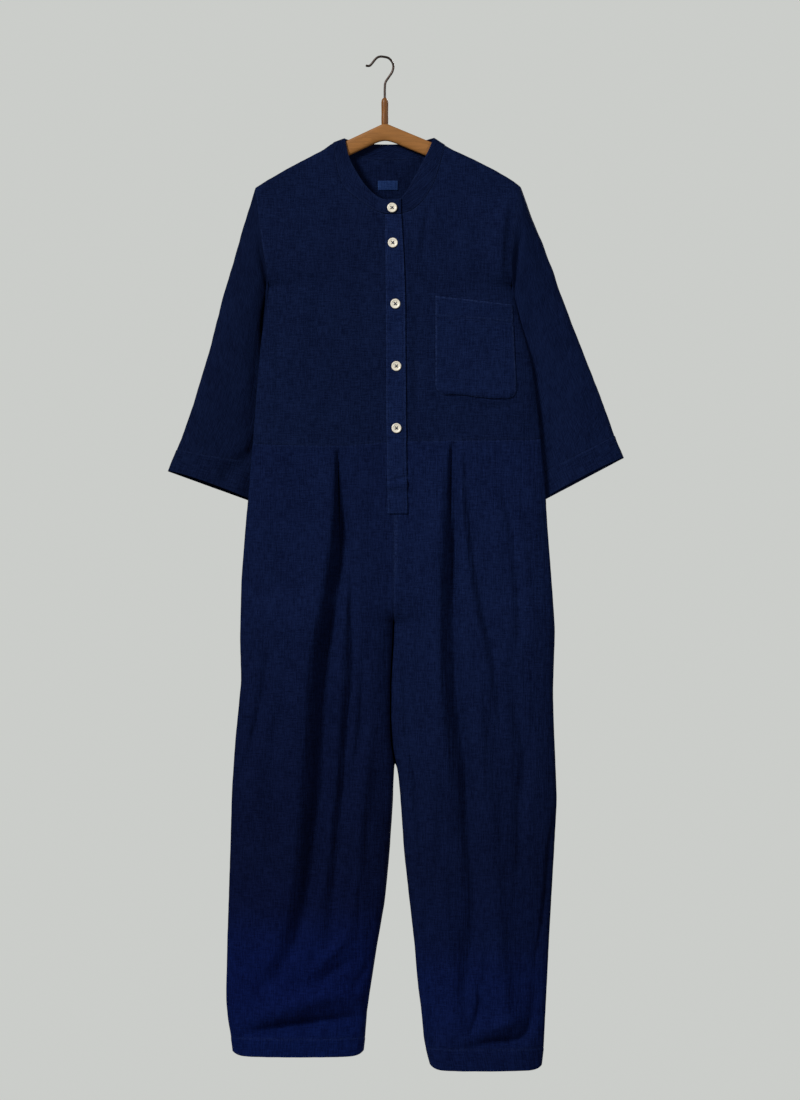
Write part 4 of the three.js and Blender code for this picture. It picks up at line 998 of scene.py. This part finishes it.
for side in ("right", "left"):
    seam, end = HEM[side]
    share = spaced(end - seam, 2.2, (0.6, 1.6, 3.0))[:, None]
    turn = np.linspace(-np.pi / 2, 3 * np.pi / 2, 141)[:-1]
    corner = 7.0 * np.abs(np.sin(turn)) ** 14
    drop = seam - TUCK + (end - seam + TUCK - corner) * share
    angle = np.arcsin(np.clip(np.sin(turn), -1, 1)) + 0 * share
    points, normals = either((np.cos(turn) > 0)[None, :, None],
                             leg(side, -1, angle, drop, 0.5), leg(side, 1, angle, drop, 0.5))
    points[:, [0, 70], 1] = 0
    cloth("leg-hem-" + side, (points, normals), thick=1.7, ring=True, seams="t",
          material=LEG_LINEN[side], grain=round_grain(points))

# %% [markdown]
# ## What lies on the fronts
#
# The placket, the strip under it and the pocket are laid pieces: their places are read off the
# fronts, moved out by a layer of cloth, so they share each fold below them. The placket is stitched
# down along one edge, and its other edge stands open over the strip that carries the buttons.

# %% Placket, under strip, pocket and label
CREASES = [(300, 0.5), (422, 0.8), (454, 0.7), (490, 0.8), (540, 0.7), (572, 0.9), (604, 0.8)]
UNDER_END = 575.5


def placket_grid():
    """From the stitched edge, a little sunk, to the open edge. Creases cross it, and below the last
    button it is tucked once."""
    v = spaced(PLACKET_END - PLACKET_TOP, 2.4)[:, None]
    u = spaced(30, 1.9, (0.5, 1.2, 2.2))[None]
    drop = PLACKET_TOP + (PLACKET_END - PLACKET_TOP) * v
    x = blend(placket_x["left"](drop), placket_x["right"](drop), u)
    lift = LAID - 1.1 * bell(u * 30, 2.5) + 0.5 * ease((u - 0.8) / 0.2) - 1.0 * bell(drop - 434 + 3 * u, 2.2)
    lift = lift - 2.2 * bell(drop - 636 + 7 * u, 3) * ease(u / 0.4)
    lift = lift + 2.0 * bell(drop - 644 + 5 * u, 4) - 1.0 * bell(drop - 656 + 3 * u, 3)
    for crease, deep in CREASES:
        lift = lift - deep * bell(drop - crease - 3 * u, 2)
    return front_surface(x, drop, lift + 0.35 * rumple(x, drop, 14, 12, 61))


cloth("placket-top", placket_grid(), node="placket", thick=1.5, seams="se",
      sink=0.35, rub=0.6, material=LINEN_LAID)

u, v = spaced(24, 2.4, (0.6, 1.5, 2.6))[None], spaced(336, 3.0)[:, None]
drop = PLACKET_TOP + (UNDER_END - PLACKET_TOP) * v
x = blend(placket_x["left"](drop) + 3.4, placket_x["right"](drop) - 3.0, u)
cloth("placket-under-strip", bodice(-1, x, drop, -0.3), node="placket_under",
      thick=1.5, seams="")


def pocket_grid():
    """A patch with rounded lower corners; its mouth gapes a little and its foot sags. Gives the grid,
    and how rubbed it is along the hem's fold."""
    u, v = spaced(120, 2.0, (0.6, 1.4, 2.6))[None], spaced(146, 2.0, (0.6, 1.4, 2.6))[:, None]
    top, bottom = blend(*POCKET["top"], u), blend(*POCKET["bottom"], u)
    bottom = bottom + 1.6 * rumple(POCKET["left"] + 120 * u, 0 * u, 19, 40, 63)
    drop = top + (bottom - top) * v
    sides, foot, fold = np.minimum(u, 1 - u) * 120, bottom - drop, drop - top - 31 + 3 * u
    rest = np.maximum(POCKET["corner"] - foot, 0)
    inset = POCKET["corner"] - np.sqrt(np.maximum(POCKET["corner"] ** 2 - rest ** 2, 0))
    x = blend(POCKET["left"] + inset, blend(*POCKET["right"], v) - inset, u)
    lift = POCKET_LAID + 2.0 * ease(foot / 2) * ease(sides / 8) * bell(foot - 7, 7)
    lift = lift + 0.8 * bell(drop - top, 16) * ease(sides / 20) - 1.5 * bell(fold, 1.8)
    return bodice(-1, x, drop, lift), 0.8 * bell(fold + 3.4, 1.2)


grid, stitched = pocket_grid()
cloth("chest-pocket", grid, thick=1.3, sink=0.4, rub=1.2, worn=stitched,
      material=LINEN_POCKET)

u, v = spaced(30, 2.0, (0.5, 1.2, 2.0))[None], spaced(14, 1.6, (0.5, 1.2, 2.0))[:, None]
place, normal = bodice(1, -7 + 30 * u, 183 + 14 * v)
cloth("neck-label", (place - normal * 2.0, -normal), thick=0.6, seams="se", sink=0.2,
      material=TAPE, slot="label_cloth")

# %% [markdown]
# ## Buttons
#
# A shirt button is turned: a raised rim, a dished middle and four drilled holes. It is a profile of
# height over radius carried round the axis, and the holes are pressed into that height where the drill
# went. Dark thread crosses between the holes. Each button is tilted to the cloth it is sewn to.

# %% Buttons and their thread
def plain(name, colour, spots, rough, scale=200, metal=0.0, coat=0.0, bump=None, shine=0.5):
    """A finish with soft colour variation: noise mixes the colour with its spots."""
    r = Recipe(name)
    cloud = r.noise(r.step("TexCoord").outputs["Object"], (scale, scale, scale), 4.0)
    raised = bump and r.step("Bump", {"Height": cloud, "Strength": 0.4, "Distance": bump})
    r.finish(r.mix(r.spread(cloud, 0.35, 0.68), (*colour, 1), (*spots, 1)),
             r.spread(cloud, 0.3, 0.7, rough * 0.85, min(rough * 1.15, 1)), raised, shine)
    r.shader.inputs["Metallic"].default_value = metal
    r.shader.inputs["Coat Weight"].default_value = coat
    return r.material


BUTTON = plain("satin off-white button", (0.66, 0.62, 0.52), (0.54, 0.49, 0.39), 0.34, 160, coat=0.15)
THREAD = plain("sewing thread", (0.0045, 0.0090, 0.034), (0.0080, 0.0150, 0.050), 0.9, 2500,
               bump=0.0001, shine=0.05)
BUTTON_RADIUS, HOLE, HOLE_OUT = 7.3, 0.95, 1.7
BUTTON_PROFILE = [(0, 0), (3.5, 0), (6.3, 0), (7.0, 0.2), (7.3, 0.8), (7.3, 1.5), (7.05, 2.1),
                  (6.5, 2.4), (5.9, 2.42), (5.4, 2.2), (4.9, 1.8), (4.4, 1.6)]    # radius, height
RIM = 9                                        # the profile's rows after this one are the dished face


def button_frame(x, drop, lift):
    """Centre of the button's back, and its right, up and outward directions, on the cloth."""
    at = np.array([drop - BUTTON_RADIUS, drop, drop + BUTTON_RADIUS])
    place, _ = front_surface(np.full(3, float(x)), at, lift)
    right, up = np.array([1.0, 0, 0]), unit(place[0] - place[2])
    out = unit(np.cross(right, up))
    return np.array([x, place[:, 1].min(), -drop]), right, up, out if out[1] < 0 else -out


def button_points():
    """Local right, up and outward places: back disc, rounded rim, then the dished face."""
    inner = np.stack([np.linspace(4.1, 0, 25), np.full(25, 1.56)], 1)
    radius, height = np.concatenate([BUTTON_PROFILE, inner]).T[..., None]
    across, up = radius * np.cos(turns(96)), radius * np.sin(turns(96))
    face = (np.arange(len(radius)) > RIM)[:, None]
    out = height + 0 * across
    for sx, sz in ((1, 1), (-1, 1), (-1, -1), (1, -1)):
        far = np.hypot(across - sx * HOLE_OUT, up - sz * HOLE_OUT)
        out = out - face * 1.4 * ease((HOLE + 0.15 - far) / 0.3)
    return np.stack([across, up, out], -1)


def put(local, centre, right, up, out):
    """From a button's own directions to the garment's."""
    return centre + local[..., :1] * right + local[..., 1:2] * up + local[..., 2:] * out


def strand(path, radius, sides=8):
    """A thread or a wire as rings round a path, each set square to the path there. It ends in points."""
    ahead = unit(np.gradient(path, axis=0))
    side = unit(np.cross(ahead, np.array([0.31, 0.67, 0.55])))
    turn = turns(sides)[None, :, None]
    ring = np.cos(turn) * side[:, None] + np.sin(turn) * np.cross(ahead, side)[:, None]
    size = np.full(len(path), radius, float)
    size[[0, -1]] = radius * 0.02
    return path[:, None] + ring * size[:, None, None], ring


def button_threads(place):
    """Two pairs of crossing threads from hole to hole, joined into one mesh."""
    threads, t = [], np.linspace(-1, 1, 15)
    for a, b in ((1, 1), (-1, 1)):
        path = np.stack([a * HOLE_OUT * t, b * HOLE_OUT * t, 0.7 + 1.5 * (1 - t ** 6)], -1)
        for off in (-0.28, 0.28):
            shifted = path + np.array([-b, a, 0]) / np.sqrt(2) * off
            threads.append(mesh_piece("thread", *strand(put(shifted, *place), 0.3), THREAD))
    bpy.ops.object.select_all(action="DESELECT")
    for part in threads:
        part.select_set(True)
    bpy.context.view_layer.objects.active = threads[0]
    bpy.ops.object.join()
    return threads[0]


local = button_points()
for number, (x, drop) in enumerate(BUTTONS, 1):
    place = button_frame(x, drop, (0.35 + BAND_RAISE if number == 1 else LAID) + 0.15)
    points = put(local, *place)
    button = mesh_piece("shirt-button-%d" % number, points, ring_normals(points), BUTTON)
    enter(button, "button", "button_%d" % number)
    thread = button_threads(place)
    thread.name = "button-thread-%d" % number
    enter(thread, "linen")
print("buttons at drops", [drop for _, drop in BUTTONS])

# %% [markdown]
# ## Topstitching
#
# Seams that lie flat are held by a row of stitches a few millimetres from the edge. They are the same
# colour as the cloth, so they show as a dotted line of shadow. All stitches of the garment are one
# mesh: a path is cut into equal lengths, and each length gets a small spindle with a few faces.

# %% Rows of stitches
def stitches(paths, pitch=3.4, long=2.5, radius=0.26, sides=5):
    """Spindles along the paths: centre, direction and outward normal of each, all at once."""
    spindles = []
    for points, normals in paths:
        run = run_along(points)
        at = np.arange(pitch / 2, run[-1], pitch)
        read = lambda table, s: np.stack([np.interp(s, run, column) for column in table.T], -1)
        spindles.append((read(points, at) + read(normals, at) * 0.1,
                         unit(read(points, at + 0.5) - read(points, at - 0.5)), unit(read(normals, at))))
    centre, head, up = (np.concatenate(part)[:, None, None] for part in zip(*spindles))
    turn = (np.arange(sides) * 2 * np.pi / sides)[:, None]
    along_it = np.array([-0.5, -0.3, 0.3, 0.5])[:, None, None] * long
    size = np.array([0.08, 1, 1, 0.08])[:, None, None] * radius
    points = centre + head * along_it + (np.cross(head, up) * np.cos(turn) + up * np.sin(turn)) * size
    rings = np.arange(4 * sides).reshape(4, sides)
    turned = np.roll(rings, -1, 1)
    quads = np.stack([rings[:-1], turned[:-1], turned[1:], rings[1:]], -1).reshape(-1, 4)
    caps = np.array([rings[0], rings[3][::-1]])
    base = np.arange(len(points))[:, None, None] * 4 * sides
    faces = [(part[None] + base).reshape(-1, part.shape[1]).tolist() for part in (quads, caps)]
    mesh = bpy.data.meshes.new("topstitching")
    mesh.from_pydata(points.reshape(-1, 3) * MM, [], faces[0] + faces[1])
    mesh.polygons.foreach_set("use_smooth", np.ones(len(mesh.polygons), bool))
    mesh.materials.append(THREAD)
    piece = bpy.data.objects.new("topstitching", mesh)
    bpy.context.collection.objects.link(piece)
    enter(piece, "linen")
    print(len(points), "stitches,", len(faces[0]) * 2, "triangles")


def rows_of_stitches():
    """Every topstitched line of the garment, as (points, normals)."""
    d = np.linspace(PLACKET_TOP + 1, PLACKET_END - 2, 260)
    lines = [(placket_x["left"](d) + 2.4, d, LAID - 0.35), (placket_x["right"](d) - 5, d, LAID + 0.35)]
    x = np.linspace(8, 36, 24)
    lines += [(x, x * 0 + PLACKET_END - 2.5, LAID + 0.1), (x, x * 0 + 647.0, LAID + 1.2)]
    d = np.linspace(361, 495, 90)
    lines.append((POCKET["left"] + 2.3 + 0 * d, d, POCKET_LAID - 0.1))
    lines.append((POCKET["right"][0] + 7 * (d - 365) / 142 - 2.3, d + 12, POCKET_LAID - 0.1))
    t = np.linspace(0, 1, 90)
    lines.append((80 + 118 * t, 391 + 11 * t, POCKET_LAID + 0.1))
    lines.append((93 + 92 * t, 503.6 + 7 * t, POCKET_LAID - 0.1))
    for ends in ((-188, 2), (42, 230)):
        x = np.linspace(*ends, 120)
        lines.append((x, waist_front(x) - 3.0, 0.0))
    points, normals = band_grid
    return [front_surface(*row) for row in lines] + [(points[row], normals[row]) for row in (2, -3)]


stitches(rows_of_stitches())

# %% [markdown]
# ## The hanger
#
# A slim wooden hanger: a bar bent in a shallow arch, sanded round on top, with a turned neck and a
# wire hook. Each is a section carried along a path. The grain of the wood runs along the bar, so its
# material stretches noise along x, and darker rings come from a wave bent by that noise.

# %% Hanger
BAR_LEFT, BAR_RIGHT, BAR_HALF, BAR_SEAT = -172, 190, 5.6, 2.95
BAR_ARCH = [(-74, 134.2), (3.5, 98), (71, 126), (94, 135)]
BAR_TALL = [(-172, 18), (-60, 24), (3.5, 23.5), (64, 24), (190, 18)]
PEG_X, PEG_BOTTOM, WIRE = 3.5, 97.6, 1.75
PEG_PROFILE = [(-2.5, 0.1), (-2.5, 4.9), (0, 5.1), (6, 5.2), (14, 5.0), (26, 5.2), (31, 5.2), (34, 4.7),
               (36, 3.7), (37.2, 2.4), (37.6, 1.4), (37.6, 0.1)]                  # height, radius
HOOK_ROUTE = [(3.5, 66), (3.5, 59.7), (3.5, 47), (4.5, 37), (9.5, 29), (15, 20), (16, 10), (10, 1),
              (0, -WIRE), (-6, -1.2), (-10.5, 2), (-15.5, 8.2), (-19.5, 12), (-25.5, 11.8)]


def wood(name, light, dark, grain_axis):
    """Long-grained wood: noise drawn out along the grain bends a wave into growth rings."""
    r = Recipe(name)
    place = r.step("TexCoord").outputs["Object"]
    drawn = lambda across, down: tuple(down if axis == grain_axis else across for axis in "XYZ")
    streak = r.noise(place, drawn(90.0, 7.0), 5.0)
    fine = r.noise(place, drawn(1400.0, 40.0), 3.0)
    rings = r.math("FRACT", r.math("MULTIPLY", streak, 7.0))
    tone = r.weighted((rings, 0.55), (fine, 0.45))
    bump = r.step("Bump", {"Height": fine, "Strength": 0.25, "Distance": 0.0002})
    r.finish(r.mix(r.spread(tone, 0.15, 0.85), (*dark, 1), (*light, 1)),
             r.spread(tone, 0.2, 0.8, 0.5, 0.34), bump, 0.2)
    return r.material


def bar_points():
    """A rounded oblong section along the arch; the ends round down to nothing."""
    close = np.array([0.4, 1, 2, 3.5])
    x = np.linspace(BAR_LEFT, BAR_RIGHT, 150)
    x = np.unique(np.concatenate([x, BAR_LEFT + close, BAR_RIGHT - close]))
    arch, under, tall = line(BAR_ARCH, 2.5), line(BAR_ARCH, 9), line(BAR_TALL, 20)
    seat = np.maximum(top_drop(x) + BAR_SEAT, np.where(x < 0, 134.2, 135.0))
    top = np.where((x > -74) & (x < 94), arch(x), seat)
    end = np.minimum(x - BAR_LEFT, BAR_RIGHT - x)
    full = np.sqrt(np.clip(1 - (1 - np.clip(end / 6, 0, 1)) ** 2, 0.0004, 1))
    cos, sin = np.cos(turns(48)), np.sin(turns(48))
    power = np.where(turns(48) > np.pi, 0.75, 0.4)
    y, z = np.sign(cos) * np.abs(cos) ** power, np.sign(sin) * np.abs(sin) ** power
    sag = np.where((x > -60) & (x < 80), under(x) - arch(x), 0)[:, None] * (z < 0)
    middle = -(top + tall(x) / 2)[:, None] - sag * ease(-z * 2)
    points = np.stack([x[:, None] + 0 * y, (BAR_HALF * full)[:, None] * y,
                       middle + (tall(x) / 2 * full)[:, None] * z], -1)
    return points, np.stack([0 * cos, cos, sin], -1)[None] + 0 * points


def turned_points():
    """The neck's profile of radius over height, turned round its axis."""
    many = np.linspace(0, len(PEG_PROFILE) - 1, 80)
    height, radius = (np.interp(many, np.arange(len(PEG_PROFILE)), column)[:, None]
                      for column in np.array(PEG_PROFILE).T)
    cos, sin = np.cos(turns(40)), np.sin(turns(40))
    points = np.stack([PEG_X + radius * cos, radius * sin, -PEG_BOTTOM + height + 0 * cos], -1)
    return points, np.stack([cos, sin, 0 * cos], -1)[None] + 0 * points


def wire_points():
    """The hook: a wire along the curve through its route."""
    route = np.array(HOOK_ROUTE, float)
    at = run_along(route)
    places = np.stack([route[:, 0], 0 * at, -route[:, 1]], -1)[:, None]
    return strand(through(places, at, np.linspace(0, at[-1], 150))[:, 0], WIRE, 16)


BAR_WOOD = wood("varnished hanger wood", (0.26, 0.112, 0.033), (0.19, 0.080, 0.020), "X")
PEG_WOOD = wood("turned hanger neck", (0.19, 0.074, 0.018), (0.10, 0.036, 0.008), "Z")
HOOK_METAL = plain("bronzed wire", (0.060, 0.042, 0.034), (0.025, 0.018, 0.016), 0.42, 700,
                   metal=0.85, bump=0.0001)
for name, node, slot, grid, material in (
        ("hanger-bar", "hanger_bar", "hanger_wood", bar_points(), BAR_WOOD),
        ("hanger-neck", "hanger_peg", "turned_wood", turned_points(), PEG_WOOD),
        ("hanger-hook", "hanger_hook", "hook_wire", wire_points(), HOOK_METAL)):
    piece = mesh_piece(name, *grid, material)
    enter(piece, slot, node)
    print(name, len(piece.data.polygons), "faces")

# %% [markdown]
# ## Floor, light and camera
#
# The garment is seen straight on, as in a catalogue: a long lens five metres off, level with its
# middle. A big soft light stands to the upper left and a weaker one to the right, in a pale room, so
# folds read as gentle bands of shade. The room lights the cloth less than its backdrop looks, or the
# shade would fill up. A small pale floor lies below the hems, out of the picture.

# %% Stage
ROOM_LIGHT = 0.22                              # the room's own light, against a backdrop of 1
DISTANCE, SEEN_HEIGHT, SENSOR = 5.0, 1.65, 36  # of the camera, and the height that it takes in

bpy.ops.mesh.primitive_circle_add(vertices=96, radius=0.42, fill_type="NGON", location=(0.02, 0, -1.66))
floor = bpy.context.object
floor.name = "floor"
floor.data.materials.append(plain("pale floor", (0.56, 0.57, 0.55), (0.52, 0.53, 0.51), 0.9, 9))


def soft_light(name, place, aim, size, watts):
    """A round area light at a place, turned towards its aim."""
    light = bpy.data.lights.new(name, "AREA")
    light.shape, light.size, light.energy = "DISK", size, watts
    lamp = bpy.data.objects.new(name, light)
    bpy.context.collection.objects.link(lamp)
    lamp.location = place
    lamp.rotation_euler = (Vector(aim) - Vector(place)).to_track_quat("-Z", "Y").to_euler()


soft_light("key from the upper left", (-5.0, -6.1, 3.2), (0, 0, -0.7), 2.4, 960)
soft_light("fill from the right", (3.4, -3.0, 0.2), (0, 0, -0.8), 2.0, 64)
soft_light("light for the back", (4.6, 6.4, 3.2), (0, 0, -0.7), 2.4, 640)

world = bpy.data.worlds.new("pale room")
world.use_nodes = True
nodes, links = world.node_tree.nodes, world.node_tree.links
backdrop, seen = nodes["Background"], nodes.new("ShaderNodeLightPath")
strength = nodes.new("ShaderNodeMapRange")
backdrop.inputs["Color"].default_value = (0.597, 0.612, 0.590, 1)
strength.inputs["To Min"].default_value, strength.inputs["To Max"].default_value = ROOM_LIGHT, 1.0
links.new(seen.outputs["Is Camera Ray"], strength.inputs["Value"])
links.new(strength.outputs["Result"], backdrop.inputs["Strength"])
bpy.context.scene.world = world
bpy.context.scene.view_settings.view_transform = "Standard"

camera = bpy.data.cameras.new("camera")
camera.sensor_fit, camera.sensor_height = "VERTICAL", SENSOR
camera.lens = SENSOR * DISTANCE / SEEN_HEIGHT
camera_object = bpy.data.objects.new("camera", camera)
bpy.context.collection.objects.link(camera_object)
camera_object.location = (0.02625, -DISTANCE, -0.7383)
camera_object.rotation_euler = (np.pi / 2, 0, 0)
bpy.context.scene.camera = camera_object
print("camera with a", round(camera.lens), "mm lens,", DISTANCE, "m off")
